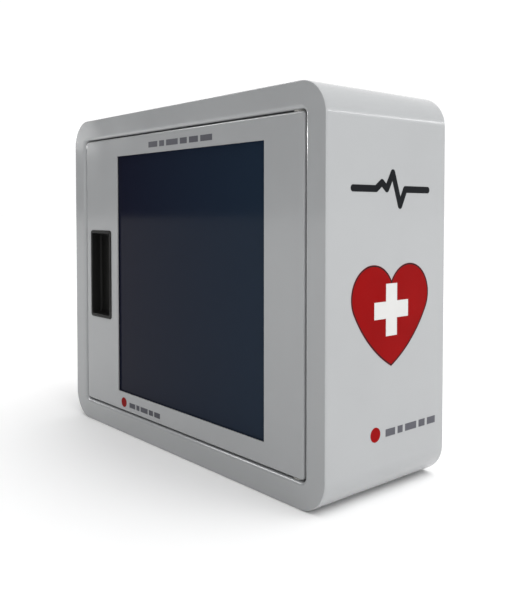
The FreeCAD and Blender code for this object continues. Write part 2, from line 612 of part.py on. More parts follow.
def make_catch():
    """Magnet between two pole plates in a moulded housing, screwed to the side stop."""
    levels = ("0 - catch_height / 2", "catch_height / 2")
    nose = block("catch_nose", ("catch_neck", "catch_right"), ("0 - catch_front", "0 - catch_back"), levels)
    ear = block("catch_ear", ("catch_ear_left", "catch_right"),
                (STOP_BACK, f"{STOP_BACK} + catch_ear_depth"), levels)
    stack = "(magnet_width / 2 + pole_width)"
    tall = ("0 - pole_height / 2", "pole_height / 2")
    slot = block("magnet_slot", (f"magnet_x - {stack}", f"magnet_x + {stack}"),
                 ("0 - catch_front - 1", "0 - pole_back"), tall)
    holes = [rod(f"catch_hole_{n}", "Y", 1.7, ("catch_screw_x", STOP_BACK, f"{level} * catch_screw_z"),
                 "catch_ear_depth") for n, level in enumerate((-1, 1), 1)]
    sub_part(cut("catch", join("catch_blank", nose, ear), slot, *holes), "catch_housing")
    sub_part(block("magnet", ("magnet_x - magnet_width / 2", "magnet_x + magnet_width / 2"),
                   ("0 - catch_front", "0 - pole_back"), tall), "catch_magnet")
    poles = []
    for side, (low, high) in {"left": (f"magnet_x - {stack}", "magnet_x - magnet_width / 2"),
                              "right": ("magnet_x + magnet_width / 2", f"magnet_x + {stack}")}.items():
        poles.append(block(f"pole_{side}", (low, high), ("0 - pole_front", "0 - pole_back"), tall))
    sub_part(group("pole_pair", poles), "catch_poles")
    seats = [("catch_screw_x", f"{STOP_BACK} + catch_ear_depth", f"{level} * catch_screw_z")
             for level in (-1, 1)]
    screws("catch_screws", seats, "Y", -1, 2.8, 2, 1.5, 5.5)


def make_door_switch():
    """Plunger switch behind the side stop: the shut door holds its plunger in."""
    body = block("switch_block", ("switch_x - switch_width / 2", "switch_x + switch_width / 2"),
                 (STOP_BACK, f"{STOP_BACK} + switch_depth"),
                 ("switch_z - switch_height / 2", "switch_z + switch_height / 2"))
    bore = rod("switch_bore", "Y", "plunger_radius + plunger_clearance",
               ("switch_x", f"{STOP_BACK} - 1", "switch_z"), "switch_depth - 1")
    sub_part(cut("switch_housing", body, bore), "door_switch_body")
    rod("plunger_rod", "Y", "plunger_radius", ("switch_x", "0 - plunger_front", "switch_z"),
        "plunger_length")
    tip = value("0 - plunger_front")
    plunger = soften("plunger", doc.getObject("plunger_rod"), "0.5 * plunger_radius",
                     lambda edge: near(edge.BoundBox.YMax, tip))
    sub_part(plunger, "switch_plunger")


# ---------------------------------------------------------------- alarm


def make_alarm_case():
    """Ceiling plate, base and cover of the alarm that sounds when the door opens."""
    half_x, half_y = "alarm_width / 2", "alarm_depth / 2"
    plate = block("alarm_plate", (f"alarm_x - {half_x} - 10", f"alarm_x + {half_x} + 10"),
                  ("alarm_y - 15", "alarm_y + 15"), (f"{CEILING} - alarm_bracket_sheet", CEILING))
    base_low = ALARM_TOP
    base = new_body("alarm_base")
    outline = sketch_on(base, "base_outline", "XY_Plane", "alarm_x", "alarm_y", base_low)
    rounded_rectangle(outline, "alarm_width", "alarm_depth", "alarm_radius")
    pad(base, "base_plate", outline, "alarm_base_height - 0.5")
    seats = []
    plate_holes = []
    for n, side in enumerate((-1, 1), 1):
        x = f"alarm_x + {side} * (alarm_width / 2 - 15)"
        hole = sketch_on(base, f"base_hole_{n}", "XY_Plane", x, "alarm_y", f"{base_low} + alarm_base_height")
        circle(hole, 0, 0, 2)
        pocket(base, f"base_hole_pocket_{n}", hole, "2 * alarm_base_height")
        plate_holes.append(rod(f"plate_hole_{n}", "Z", 1.75, (x, "alarm_y", f"{CEILING} - 3"), 4))
        seats.append((x, "alarm_y", base_low))
    sub_part(cut("alarm_plate_drilled", plate, *plate_holes), "alarm_bracket")
    screws("alarm_screws", seats, "Z", 1, 3.2, 2, 1.75, 5.5)

    cover = new_body("alarm_cover")
    outline = sketch_on(cover, "cover_outline", "XY_Plane", "alarm_x", "alarm_y", "alarm_bottom")
    rounded_rectangle(outline, "alarm_width", "alarm_depth", "alarm_radius")
    pad(cover, "cover_block", outline, "alarm_height")
    bottom = value("alarm_bottom")
    round_edges(cover, "cover_edge", "1.5", lambda edge: near(edge.BoundBox.ZMax, bottom))
    hollow = sketch_on(cover, "cover_hollow", "XY_Plane", "alarm_x", "alarm_y", ALARM_TOP)
    rounded_rectangle(hollow, "alarm_width - 2 * alarm_wall", "alarm_depth - 2 * alarm_wall",
                      "alarm_radius - alarm_wall")
    pocket(cover, "cover_shell", hollow, "alarm_height - alarm_wall")
    seat = sketch_on(cover, "rocker_cutout", "XY_Plane", "rocker_x", "alarm_y", "alarm_bottom + alarm_wall")
    rectangle(seat, "18.4", "11.6")
    pocket(cover, "rocker_seat", seat, "2 * alarm_wall")
    grille = sketch_on(cover, "siren_hole", "XY_Plane", "siren_x", "alarm_y", "alarm_bottom + alarm_wall")
    circle(grille, 7, 0, 1.5)
    first_hole = pocket(cover, "siren_holes", grille, "2 * alarm_wall")
    ring = cover.newObject("PartDesign::PolarPattern", "siren_ring")
    ring.Originals = [first_hole]
    ring.Axis = (grille, ["N_Axis"])
    ring.Angle = 360
    ring.Occurrences = 8
    cover.Tip = ring


def make_alarm_contents():
    """Siren, circuit board and battery inside the alarm's cover."""
    inside = "(alarm_bottom + alarm_wall)"
    board_low = "(alarm_bottom + 20)"
    drum = rod("siren_drum", "Z", "siren_radius", ("siren_x", "alarm_y", f"{inside} + 0.2"), 9)
    stem = rod("siren_stem", "Z", "0.7 * siren_radius", ("siren_x", "alarm_y", f"{inside} + 0.2"),
               f"{board_low} - {inside} - 0.2")
    sub_part(join("siren", drum, stem), "alarm_siren")
    sub_part(block("board", ("alarm_x + 2", "alarm_x + 50"), ("alarm_y - 19", "alarm_y + 19"),
                   (board_low, f"{board_low} + 1.6")), "alarm_circuit_board")
    battery_left = "(alarm_x - alarm_width / 2 + 2.5)"
    end = f"({battery_left} + 48.5)"
    case = block("battery_case", (battery_left, end), ("alarm_y - 13.25", "alarm_y + 13.25"),
                 (f"{inside} + 1", f"{inside} + 18.5"))
    case = soften("battery_rounded", case, "1.6", lambda edge: edge.BoundBox.XLength > 40)
    terminals = [rod(f"terminal_{n}", "X", radius, (end, f"alarm_y + {side} * 6.3", f"{inside} + 9.75"), 2)
                 for n, (side, radius) in enumerate([(-1, 2.8), (1, 3.8)], 1)]
    sub_part(join("battery", case, *terminals), "alarm_battery")
    sub_part(block("clip", (f"{end} + 2", f"{end} + 4"), ("alarm_y - 12", "alarm_y + 12"),
                   (f"{inside} + 3.5", f"{inside} + 16")), "alarm_battery_clip")


def make_alarm_switch():
    """Rocker switch in the alarm's underside, left in its on position."""
    shell = block("switch_shell", ("rocker_x - 9", "rocker_x + 9"), ("alarm_y - 5.6", "alarm_y + 5.6"),
                  ("alarm_bottom", "alarm_bottom + 12"))
    bezel = block("switch_bezel", ("rocker_x - 10.5", "rocker_x + 10.5"), ("alarm_y - 7", "alarm_y + 7"),
                  ("alarm_bottom - 0.8", "alarm_bottom"))
    well = block("switch_well", ("rocker_x - 7.6", "rocker_x + 7.6"), ("alarm_y - 4.6", "alarm_y + 4.6"),
                 ("alarm_bottom - 1", "alarm_bottom + 7"))
    pivots = rod("switch_pivots", "Y", 1.06, ("rocker_x", "alarm_y - 6", "rocker_z"), 12)
    sub_part(cut("alarm_switch", join("alarm_switch_blank", shell, bezel), well, pivots),
             "alarm_switch_body")

    half, drop = value("rocker_length") / 2, value("rocker_drop")
    profile = [V(-half, 0, 0.4), V(-half, 0, -drop), V(0, 0, 1.2 - drop), V(half, 0, -drop), V(half, 0, 0.4)]
    width = value("rocker_width")
    paddle = Part.Face(Part.makePolygon(profile + profile[:1])).extrude(V(0, width, 0))
    paddle.translate(V(0, -width / 2, 0))
    trunnion = Part.makeCylinder(1, 10.4, V(0, -5.2, 0), V(0, 1, 0))
    rocker = doc.addObject("Part::Feature", "rocker")
    rocker.Shape = paddle.fuse(trunnion).removeSplitter()
    rocker.Placement = FreeCAD.Placement(
        V(value("rocker_x"), value("alarm_y"), value("rocker_z")),
        FreeCAD.Rotation(V(0, 1, 0), -value("rocker_tilt")))
    sub_part(rocker, "alarm_rocker")


# ---------------------------------------------------------------- shelf


def make_shelf():
    """Bent platform on the cabinet's floor, with a rubber mat for the defibrillator."""
    across = ("0 - shelf_width / 2", "shelf_width / 2")
    depth = ("0 - shelf_front", "0 - shelf_back")
    outside = block("shelf_outside", across, depth, (FLOOR, "shelf_top"))
    inside = block("shelf_inside", across, ("sheet - shelf_front", "0 - shelf_back - sheet"),
                   (FLOOR, "shelf_top - sheet"))
    platform = cut("shelf_platform", outside, inside)
    feet = [block("foot_front", across, ("0 - shelf_front", "shelf_foot - shelf_front"),
                  (FLOOR, f"{FLOOR} + sheet")),
            block("foot_back", across, ("0 - shelf_back - shelf_foot", "0 - shelf_back"),
                  (FLOOR, f"{FLOOR} + sheet"))]
    sub_part(join("shelf", platform, *feet), "device_shelf")
    mat = block("mat", ("mat_inset - shelf_width / 2", "shelf_width / 2 - mat_inset"),
                ("mat_inset - shelf_front", "0 - mat_inset - shelf_back"),
                ("shelf_top", "shelf_top + mat_thickness"))
    sub_part(mat, "shelf_mat")


# ---------------------------------------------------------------- printed vinyl

# Each print is drawn flat, x to the reader's right and y up, and turned to face outward.
FACING = {
    "front": FreeCAD.Rotation(V(1, 0, 0), V(0, 0, 1), V(0, -1, 0), "ZXY"),
    "right": FreeCAD.Rotation(V(0, 1, 0), V(0, 0, 1), V(1, 0, 0), "ZXY"),
    "left": FreeCAD.Rotation(V(0, -1, 0), V(0, 0, 1), V(-1, 0, 0), "ZXY"),
}


def place_print(label, face, thickness, facing, base):
    film = doc.addObject("Part::Feature", label + "_print")
    film.Shape = face.extrude(V(0, 0, thickness))
    film.Placement = FreeCAD.Placement(base, FACING[facing])
    return sub_part(film, label)


def panel(x, y, width, height):
    """Rectangular face about the centre x, y."""
    return Part.Face(Part.makePolygon([
        V(x - width / 2, y - height / 2), V(x + width / 2, y - height / 2),
        V(x + width / 2, y + height / 2), V(x - width / 2, y + height / 2),
        V(x - width / 2, y - height / 2)]))


def heart_face():
    """Heart of two lobes, each running on into a flatter arc that ends at the point."""
    half_x, half_y = value("heart_width") / 2, value("heart_height") / 2
    lobe, flank = value("lobe_radius"), value("flank_radius")
    centre = V(half_x - lobe, half_y - lobe)
    point = V(0, -half_y)
    # The flank's centre is flank - lobe from the lobe's centre and flank from the point.
    span = point - centre
    reach = span.Length
    along = ((flank - lobe) ** 2 - flank ** 2 + reach ** 2) / (2 * reach)
    aside = math.sqrt((flank - lobe) ** 2 - along ** 2)
    unit = span / reach
    flank_centre = centre + unit * along + V(unit.y, -unit.x) * aside
    outward = (centre - flank_centre).normalize()
    joint = centre + outward * lobe
    notch = V(0, centre.y + math.sqrt(lobe ** 2 - centre.x ** 2))
    crown = centre + V(0, lobe)
    halfway = ((joint - flank_centre) + (point - flank_centre)).normalize()
    low = flank_centre + halfway * flank
    edges = [Part.Arc(notch, crown, joint).toShape(), Part.Arc(joint, low, point).toShape()]
    mirrored = [edge.mirror(V(), V(1, 0, 0)) for edge in edges]
    return Part.Face(Part.Wire(Part.sortEdges(edges + mirrored)[0]))


def pulse_face():
    """Heartbeat trace of even stroke: flat, small wave, sharp peak and dip, flat."""
    width, height, stroke = value("pulse_width"), value("pulse_height"), value("pulse_stroke")
    rise = height / 2 - stroke / 2
    run = width / 2 - stroke / 2
    trace = [V(-run, 0), V(-0.42 * run, 0), V(-0.27 * run, 0.38 * rise), V(-0.14 * run, 0),
             V(0.02 * run, rise), V(0.22 * run, -rise), V(0.36 * run, 0), V(run, 0)]
    pieces = [Part.Face(Part.Wire(Part.makeCircle(stroke / 2, corner))) for corner in trace]
    for start, end in zip(trace, trace[1:]):
        side = (end - start).normalize().cross(V(0, 0, 1)) * (stroke / 2)
        corners = [start - side, start + side, end + side, end - side]
        pieces.append(Part.Face(Part.makePolygon(corners + corners[:1])))
    return pieces[0].multiFuse(pieces[1:]).removeSplitter().Faces[0]


def bars(widths, height, total):
    """A row of plain bars that stands where a line of print would be."""
    gap = (total - sum(widths)) / (len(widths) - 1)
    faces = []
    x = -total / 2
    for width in widths:
        faces.append(panel(x + width / 2, 0, width, height))
        x += width + gap
    return Part.Compound(faces)


def make_side_prints():
    film = value("vinyl")
    half_cabinet = value("cabinet_width") / 2
    arm, bar = value("cross_length"), value("cross_width")
    cross = panel(0, 0, arm, bar).fuse(panel(0, 0, bar, arm)).removeSplitter().Faces[0]
    for facing, sign in (("right", 1), ("left", -1)):
        x = sign * half_cabinet
        heart = V(x, value("emblem_y"), value("heart_z"))
        place_print(f"heart_{facing}", heart_face(), film, facing, heart)
        place_print(f"cross_{facing}", cross, film, facing, heart + V(sign * film, 0, 5))
        place_print(f"pulse_{facing}", pulse_face(), film, facing,
                    V(x, value("emblem_y"), value("pulse_z")))
        along = V(0, sign, 0)
        label = V(x, value("side_label_y"), value("side_label_z"))
        dot = Part.Face(Part.Wire(Part.makeCircle(6.5)))
        place_print(f"label_dot_{facing}", dot, film, facing, label - along * 38.8)
        place_print(f"label_bars_{facing}", bars([13, 7, 16, 9, 12], 6.5, 71.4), film, facing,
                    label + along * 10.6 + V(0, 0, -1))


def make_door_prints():
    film = value("vinyl")
    face = value(DOOR_FACE)
    title = V(value("title_x"), face, value("title_z"))
    place_print("title_bars", bars([17, 9, 21, 12, 15, 19], 6, 112.4), film, "front", title)
    label = V(value("door_label_x"), face, value("door_label_z"))
    dot = Part.Face(Part.Wire(Part.makeCircle(5.5)))
    place_print("label_dot_door", dot, film, "front", label - V(34.3, 0, 0))
    place_print("label_bars_door", bars([12, 6, 14, 8, 11], 5.5, 62), film, "front", label + V(8.6, 0, -1))


# ---------------------------------------------------------------- assembly

make_cabinet_wrap()
make_back_panel()
make_front_frame()
make_door_stops()
make_door_seal()
make_door_panel()
make_window()
make_recessed_pull()
make_hinge()
angle_on_door("strike", "strike_plate", "0", "strike_height")
angle_on_door("tab", "switch_tab", "switch_z", "switch_height - 2")
make_catch()
make_door_switch()
make_alarm_case()
make_alarm_contents()
make_alarm_switch()
make_shelf()
make_side_prints()
make_door_prints()
doc.recompute()

for item in doc.Objects:
    if "Invalid" in item.State or "Error" in item.State:
        raise RuntimeError(f"{item.Name} failed: {item.State}")
for made in sub_parts:
    if made.Shape.isNull() or not made.Shape.isValid():
        raise RuntimeError(f"{made.Label} has no valid shape")

os.makedirs("parts", exist_ok=True)
for made in sub_parts:
    made.Shape.exportStep(f"parts/{made.Label}.step")
print(f"{len(sub_parts)} sub-parts written")
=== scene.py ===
import json
import math

import bmesh
import bpy
from mathutils import Matrix, Vector


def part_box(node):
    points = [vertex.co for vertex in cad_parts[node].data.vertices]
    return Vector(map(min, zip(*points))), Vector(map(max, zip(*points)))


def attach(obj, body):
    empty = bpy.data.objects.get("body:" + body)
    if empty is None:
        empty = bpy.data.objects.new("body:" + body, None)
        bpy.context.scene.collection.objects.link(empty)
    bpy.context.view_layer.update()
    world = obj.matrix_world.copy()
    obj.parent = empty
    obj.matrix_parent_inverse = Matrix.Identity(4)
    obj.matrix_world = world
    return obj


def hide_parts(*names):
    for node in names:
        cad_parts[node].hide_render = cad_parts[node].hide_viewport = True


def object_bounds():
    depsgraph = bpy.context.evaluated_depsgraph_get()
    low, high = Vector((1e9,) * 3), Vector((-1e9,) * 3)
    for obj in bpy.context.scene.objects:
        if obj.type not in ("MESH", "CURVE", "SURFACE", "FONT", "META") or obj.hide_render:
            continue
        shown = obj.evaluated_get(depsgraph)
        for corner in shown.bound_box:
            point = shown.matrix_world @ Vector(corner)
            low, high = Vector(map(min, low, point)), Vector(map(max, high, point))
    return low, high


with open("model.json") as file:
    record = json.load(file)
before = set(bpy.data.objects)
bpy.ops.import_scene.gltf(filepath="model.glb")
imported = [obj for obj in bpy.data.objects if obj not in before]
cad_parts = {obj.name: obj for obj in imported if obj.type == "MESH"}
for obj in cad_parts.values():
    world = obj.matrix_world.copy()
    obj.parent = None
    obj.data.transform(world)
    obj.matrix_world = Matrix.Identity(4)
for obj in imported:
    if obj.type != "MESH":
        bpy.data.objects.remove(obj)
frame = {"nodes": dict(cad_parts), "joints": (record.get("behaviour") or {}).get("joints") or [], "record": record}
cad_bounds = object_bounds()

MM = 0.001
SHEET = 1.5 * MM
SMALL = 0.35 * MM  # edge break on cut sheet
SLIVER = 0.001 * MM  # points nearer than this are one point


# ---------------- materials

FINISH = {}  # material of each slot


def map_range(nodes, low, high, to_low=0.0, to_high=1.0):
    node = nodes.new("ShaderNodeMapRange")
    for limit, value in (("From Min", low), ("From Max", high), ("To Min", to_low), ("To Max", to_high)):
        node.inputs[limit].default_value = value
    return node


def set_ramp(ramp, *stops):
    for element, (position, colour) in zip(ramp.color_ramp.elements, stops):
        element.position, element.color = position, (*colour, 1)


def material(name, base, roughness, metallic=0.0, coat=0.0, bump=None, mottle=0.06, mottle_scale=9.0,
             rough_swing=0.08, rough_scale=40.0, stretch=(1, 1, 1), specular=0.5):
    """Principled material whose colour and roughness drift, with an optional fine bump.

    base is linear RGB; bump is (scale per metre, strength, distance in metres)."""
    made = FINISH[name] = bpy.data.materials.new(name)
    made.use_nodes = True
    nodes, links = made.node_tree.nodes, made.node_tree.links
    shader = nodes["Principled BSDF"]
    shader.inputs["Metallic"].default_value = metallic
    shader.inputs["Specular IOR Level"].default_value = specular
    shader.inputs["Coat Weight"].default_value = coat
    shader.inputs["Coat Roughness"].default_value = 0.08
    place = nodes.new("ShaderNodeTexCoord")
    scaled = nodes.new("ShaderNodeMapping")
    scaled.inputs["Scale"].default_value = stretch
    links.new(place.outputs["Object"], scaled.inputs["Vector"])

    def noise(scale, detail):
        node = nodes.new("ShaderNodeTexNoise")
        node.inputs["Scale"].default_value = scale
        node.inputs["Detail"].default_value = detail
        links.new(scaled.outputs["Vector"], node.inputs["Vector"])
        return node

    tint = noise(mottle_scale, 3.0)
    ramp = nodes.new("ShaderNodeValToRGB")
    set_ramp(ramp, (0.3, [c * (1 - mottle) for c in base]), (0.7, [min(1, c * (1 + mottle)) for c in base]))
    links.new(tint.outputs["Fac"], ramp.inputs["Fac"])
    links.new(ramp.outputs["Color"], shader.inputs["Base Color"])

    wear = noise(rough_scale, 4.0)
    spread = map_range(nodes, 0.3, 0.7, max(0.02, roughness - rough_swing), roughness + rough_swing)
    links.new(wear.outputs["Fac"], spread.inputs["Value"])
    links.new(spread.outputs["Result"], shader.inputs["Roughness"])

    if bump:
        scale, strength, depth = bump
        grain = noise(scale, 2.0)
        relief = nodes.new("ShaderNodeBump")
        relief.inputs["Strength"].default_value = strength
        relief.inputs["Distance"].default_value = depth
        links.new(grain.outputs["Fac"], relief.inputs["Height"])
        links.new(relief.outputs["Normal"], shader.inputs["Normal"])
    return made


def smoked_sheet():
    """Dark acrylic with a painted reflection that turns it bluer and lighter towards the hinge side, and that lets
    a little of the inside show.
    """
    made = material("smoked_acrylic", (0.010, 0.012, 0.025), 0.07, rough_swing=0.025, rough_scale=14.0,
                    specular=0.25)
    nodes, links = made.node_tree.nodes, made.node_tree.links
    shader = nodes["Principled BSDF"]
    shader.inputs["Alpha"].default_value = 0.985
    shader.inputs["IOR"].default_value = 1.18
    place = next(node for node in nodes if node.type == "TEX_COORD")
    ramp = next(node for node in nodes if node.type == "VALTORGB")
    # painted reflection: the base colour grows bluer and lighter along X towards the hinge side, in place of the
    # reflection that does it
    across = nodes.new("ShaderNodeSeparateXYZ")
    links.new(place.outputs["Object"], across.inputs["Vector"])
    drift = map_range(nodes, -0.12, 0.15)
    links.new(across.outputs["X"], drift.inputs["Value"])
    links.new(drift.outputs["Result"], ramp.inputs["Fac"])
    set_ramp(ramp, (0, (0.009, 0.010, 0.022)), (1, (0.014, 0.025, 0.044)))
    return made


def vinyl(name, base, mottle):
    """Printed film: smooth, with a faint unevenness from the paint under it."""
    material(name, base, 0.42, mottle=mottle, mottle_scale=25.0, bump=(1500.0, 0.04, 0.0001),
             specular=0.04)


PAINT = material("cabinet_paint", (0.380, 0.388, 0.395), 0.19, coat=0.35, bump=(700.0, 0.06, 0.0004),
                 mottle=0.03, mottle_scale=7.0, rough_swing=0.05, rough_scale=25.0, specular=0.3)
BLACK = material("black_plastic", (0.007, 0.007, 0.0065), 0.48, bump=(2600.0, 0.25, 0.0001), mottle=0.2,
                 specular=0.15)
RUBBER = material("seal_rubber", (0.020, 0.020, 0.021), 0.75, bump=(1800.0, 0.5, 0.0002), mottle=0.25)
ZINC = material("zinc_steel", (0.50, 0.51, 0.53), 0.36, metallic=1.0, bump=(900.0, 0.08, 0.0001),
                mottle=0.10, mottle_scale=60.0, rough_swing=0.06, rough_scale=160.0)
ALUMINIUM = material("retainer_aluminium", (0.62, 0.63, 0.65), 0.38, metallic=1.0,
                     bump=(500.0, 0.12, 0.0001), mottle=0.05, stretch=(1, 1, 0.06))
# mid grey rather than white: painted shade darkens the nylon so the bush flanges stay dim in the door gap
NYLON = material("white_nylon", (0.50, 0.49, 0.46), 0.40, bump=(1500.0, 0.12, 0.0001), mottle=0.04)
FERRITE = material("magnet_ferrite", (0.035, 0.034, 0.036), 0.6, bump=(1200.0, 0.5, 0.0002), mottle=0.2)
ALARM = material("alarm_plastic", (0.62, 0.62, 0.60), 0.40, bump=(1400.0, 0.30, 0.00015), mottle=0.03)
SIREN = material("siren_plastic", (0.02, 0.02, 0.02), 0.5, bump=(1600.0, 0.2, 0.0001), mottle=0.15)
BOARD = material("circuit_green", (0.012, 0.11, 0.035), 0.18, coat=0.4, mottle=0.25, mottle_scale=120.0,
                 rough_swing=0.04)
BATTERY = material("battery_case", (0.03, 0.032, 0.05), 0.40, metallic=0.4, coat=0.3, mottle=0.15)
GLASS = smoked_sheet()
vinyl("vinyl_red", (0.245, 0.0015, 0.002), 0.06)
vinyl("vinyl_white", (0.62, 0.62, 0.61), 0.015)
vinyl("vinyl_black", (0.010, 0.011, 0.013), 0.12)
vinyl("vinyl_grey", (0.105, 0.105, 0.12), 0.10)


# ---------------- mesh tools

def linked(name, data):
    """New object in the scene."""
    made = bpy.data.objects.new(name, data)
    bpy.context.scene.collection.objects.link(made)
    return made


def to_object(name, bm, finish, sharp=35):
    """Turns a bmesh into an object with smooth faces, split where they meet at over `sharp` degrees."""
    bmesh.ops.recalc_face_normals(bm, faces=bm.faces)
    for face in bm.faces:
        face.smooth = True
    for edge in bm.edges:
        if len(edge.link_faces) == 2 and edge.calc_face_angle(0) > math.radians(sharp):
            edge.smooth = False
    mesh = bpy.data.meshes.new(name)
    bm.to_mesh(mesh)
    bm.free()
    made = linked(name, mesh)
    mesh.materials.append(finish)
    flats = made.modifiers.new("flats", "WEIGHTED_NORMAL")
    flats.keep_sharp = True
    bake(made)
    return made


def stand_for(piece, body, *nodes):
    """The piece rides on a body and is shown in place of these CAD nodes."""
    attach(piece, body)
    if nodes:
        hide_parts(*nodes)


def add(name, bm, finish, body, *nodes):
    """Adds a piece that needs no cutting."""
    stand_for(to_object(name, bm, finish), body, *nodes)


def angles(start, end, steps):
    """Angles in radians from one to another, both in degrees, in equal steps."""
    return [math.radians(start + (end - start) * k / steps) for k in range(steps + 1)]


def rim(half_x, half_z, radius, y, centre, steps):
    """Rounded rectangle facing the door's way, as points in order."""
    points = []
    for n, (sx, sz) in enumerate([(1, -1), (1, 1), (-1, 1), (-1, -1)]):
        middle = (centre[0] + sx * (half_x - radius), centre[1] + sz * (half_z - radius))
        for a in angles(90 * n - 90, 90 * n, steps):
            points.append(Vector((middle[0] + radius * math.cos(a), y, middle[1] + radius * math.sin(a))))
    return points


def skin(rings, closed=False):
    """Skin over rings of points; the ends are capped, or the last ring is joined to the first."""
    bm = bmesh.new()
    loops = [[bm.verts.new(point) for point in ring] for ring in rings]
    for a, b in zip(loops, loops[1:] + loops[:1] if closed else loops[1:]):
        for k in range(len(a)):
            following = (k + 1) % len(a)
            bm.faces.new((a[k], a[following], b[following], b[k]))
    if not closed:
        bm.faces.new(loops[0])
        bm.faces.new(loops[-1])
    return bm


def loft(sections, closed, centre=(0, 0), steps=8):
    """Skin over rounded rectangles; each section is (half_x, half_z, radius, y)."""
    return skin([rim(half_x, half_z, max(radius, 1e-5), y, centre, steps)
                 for half_x, half_z, radius, y in sections], closed)


def bend(size, centre_inset, centre_y, radius, start, end, steps=6):
    """Sections along a rounded edge: the angle is 0 towards the outline's outside and 90 towards +Y."""
    return [at(size, centre_inset - radius * math.cos(a), centre_y + radius * math.sin(a))
            for a in angles(start, end, steps)]


def at(size, inset, y):
    """Section of a rounded rectangle (half_x, half_z, corner) that is moved inward."""
    half_x, half_z, corner = size
    return (half_x - inset, half_z - inset, corner - inset, y)


def slab(low, high, bevel, segments=3):
    """Box between two corners with every edge rounded."""
    bm = bmesh.new()
    bmesh.ops.create_cube(bm, size=1)
    low, high = Vector(low), Vector(high)
    for v in bm.verts:
        v.co = Vector(low[i] + (v.co[i] + 0.5) * (high[i] - low[i]) for i in range(3))
    bmesh.ops.bevel(bm, geom=bm.edges[:], offset=bevel, segments=segments, profile=0.5, affect="EDGES")
    return bm


def node_slab(node, bevel, segments=3):
    low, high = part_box(node)
    return slab(low, high, bevel, segments)


AXIS_TURN = {
    "X": Matrix(((0, 0, 1), (1, 0, 0), (0, 1, 0))).to_4x4(),
    "Y": Matrix(((0, 1, 0), (0, 0, 1), (1, 0, 0))).to_4x4(),
    "Z": Matrix.Identity(4),
}


def turned(base, axis, profile, steps=40, hollow=False):
    """Lathe work: profile is (radius, distance along the axis from base); a hollow one is a closed loop."""
    bm = bmesh.new()
    place = Matrix.Translation(Vector(base)) @ AXIS_TURN[axis]
    rings = []
    for radius, along in profile:
        count = 1 if radius < 1e-7 else steps
        rings.append([bm.verts.new(place @ Vector((radius * math.cos(2 * math.pi * k / steps),
                                                   radius * math.sin(2 * math.pi * k / steps), along)))
                      for k in range(count)])
    for a, b in zip(rings, rings[1:] + rings[:1] if hollow else rings[1:]):
        for k in range(steps):
            following = (k + 1) % steps
            corners = [a[k % len(a)], a[following % len(a)], b[following % len(b)], b[k % len(b)]]
            kept = list(dict.fromkeys(corners))
            if len(kept) > 2:
                bm.faces.new(kept)
    for end in (rings[0], rings[-1]):
        if len(end) > 1 and not hollow:
            bm.faces.new(end)
    return bm


def extruded(outline, axis, low, high, bevel=0.0):
    """Prism of a 2D outline along an axis; the outline's plane follows the axis in X, Y, Z order."""
    turn = AXIS_TURN[axis]
    bm = skin([[turn @ Vector((u, v, w)) for u, v in outline] for w in (low, high)])
    if bevel:
        bm.faces.ensure_lookup_table()
        edges = [edge for end in bm.faces[-2:] for edge in end.edges]
        bmesh.ops.recalc_face_normals(bm, faces=bm.faces)
        bmesh.ops.bevel(bm, geom=edges, offset=bevel, segments=2, profile=0.5, affect="EDGES")
    return bm


def joined(*meshes):
    """One bmesh of several."""
    whole = bmesh.new()
    for bm in meshes:
        part = bpy.data.meshes.new("part")
        bm.to_mesh(part)
        bm.free()
        whole.from_mesh(part)
        bpy.data.meshes.remove(part)
    return whole


def combine(target, bm, operation):
    """Boolean of an object with a bmesh."""
    tool = to_object("tool", bm, target.data.materials[0])
    modifier = target.modifiers.new("combine", "BOOLEAN")
    modifier.operation = operation
    modifier.solver = "EXACT"
    modifier.object = tool
    bake(target)
    bpy.data.objects.remove(tool)


def carve(target, cutters, break_edge=0.0):
    """Subtracts bmeshes from an object, breaks the cut edges and keeps the result as its mesh."""
    for cutter in cutters:
        combine(target, cutter, "DIFFERENCE")
    if break_edge:
        modifier = target.modifiers.new("break", "BEVEL")
        modifier.width = break_edge
        modifier.segments = 2
        modifier.limit_method = "ANGLE"
        modifier.angle_limit = math.radians(40)
        modifier.use_clamp_overlap = True
        bake(target)
    bm = bmesh.new()
    bm.from_mesh(target.data)
    bmesh.ops.remove_doubles(bm, verts=bm.verts, dist=SLIVER)
    bmesh.ops.dissolve_degenerate(bm, edges=bm.edges, dist=SLIVER)
    finish, name = target.data.materials[0], target.name
    bpy.data.objects.remove(target)
    return to_object(name, bm, finish)


def bake(target):
    """Applies the modifiers of an object to its mesh."""
    bpy.context.view_layer.update()
    graph = bpy.context.evaluated_depsgraph_get()
    mesh = bpy.data.meshes.new_from_object(target.evaluated_get(graph))
    target.modifiers.clear()
    target.data = mesh


def middle(node):
    low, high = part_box(node)
    return (low + high) / 2


def front_view(node, corner):
    """Centre (x, z) of a node, and its half sizes with a corner radius."""
    low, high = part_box(node)
    return ((low.x + high.x) / 2, (low.z + high.z) / 2), ((high.x - low.x) / 2, (high.z - low.z) / 2, corner)


# ---------------- cabinet

wrap_low, wrap_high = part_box("cabinet_wrap")
frame_low, frame_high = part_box("front_frame")
door_low, door_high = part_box("door_panel")
FRONT, FRAME_BACK = frame_low.y, frame_high.y
DOOR_FACE, DOOR_BACK = door_low.y, door_high.y
SIDE_GAP, END_GAP = 2 * MM, 1.4 * MM
OUTSIDE = (wrap_high.x, wrap_high.z, 30 * MM)
OPENING = (door_high.x + SIDE_GAP, door_high.z + END_GAP, 5.5 * MM)
DOOR = (door_high.x, door_high.z, 3.5 * MM)
PANE_LAP = 8 * MM  # the pane reaches this far behind the door's skin


def make_cabinet_wrap():
    """Bent strip with its front edge eased, so that the joint with the front plate reads as a line."""
    ease = 0.5 * MM
    front, back = wrap_low.y, wrap_high.y
    sections = bend(OUTSIDE, ease, front + ease, ease, -90, 0, 3)
    sections += bend(OUTSIDE, ease, back - ease, ease, 0, 90, 3)
    sections += [at(OUTSIDE, SHEET, back), at(OUTSIDE, SHEET, front)]
    bm = loft(sections, closed=True, steps=24)
    add("wrap", bm, PAINT, "cabinet", "cabinet_wrap")


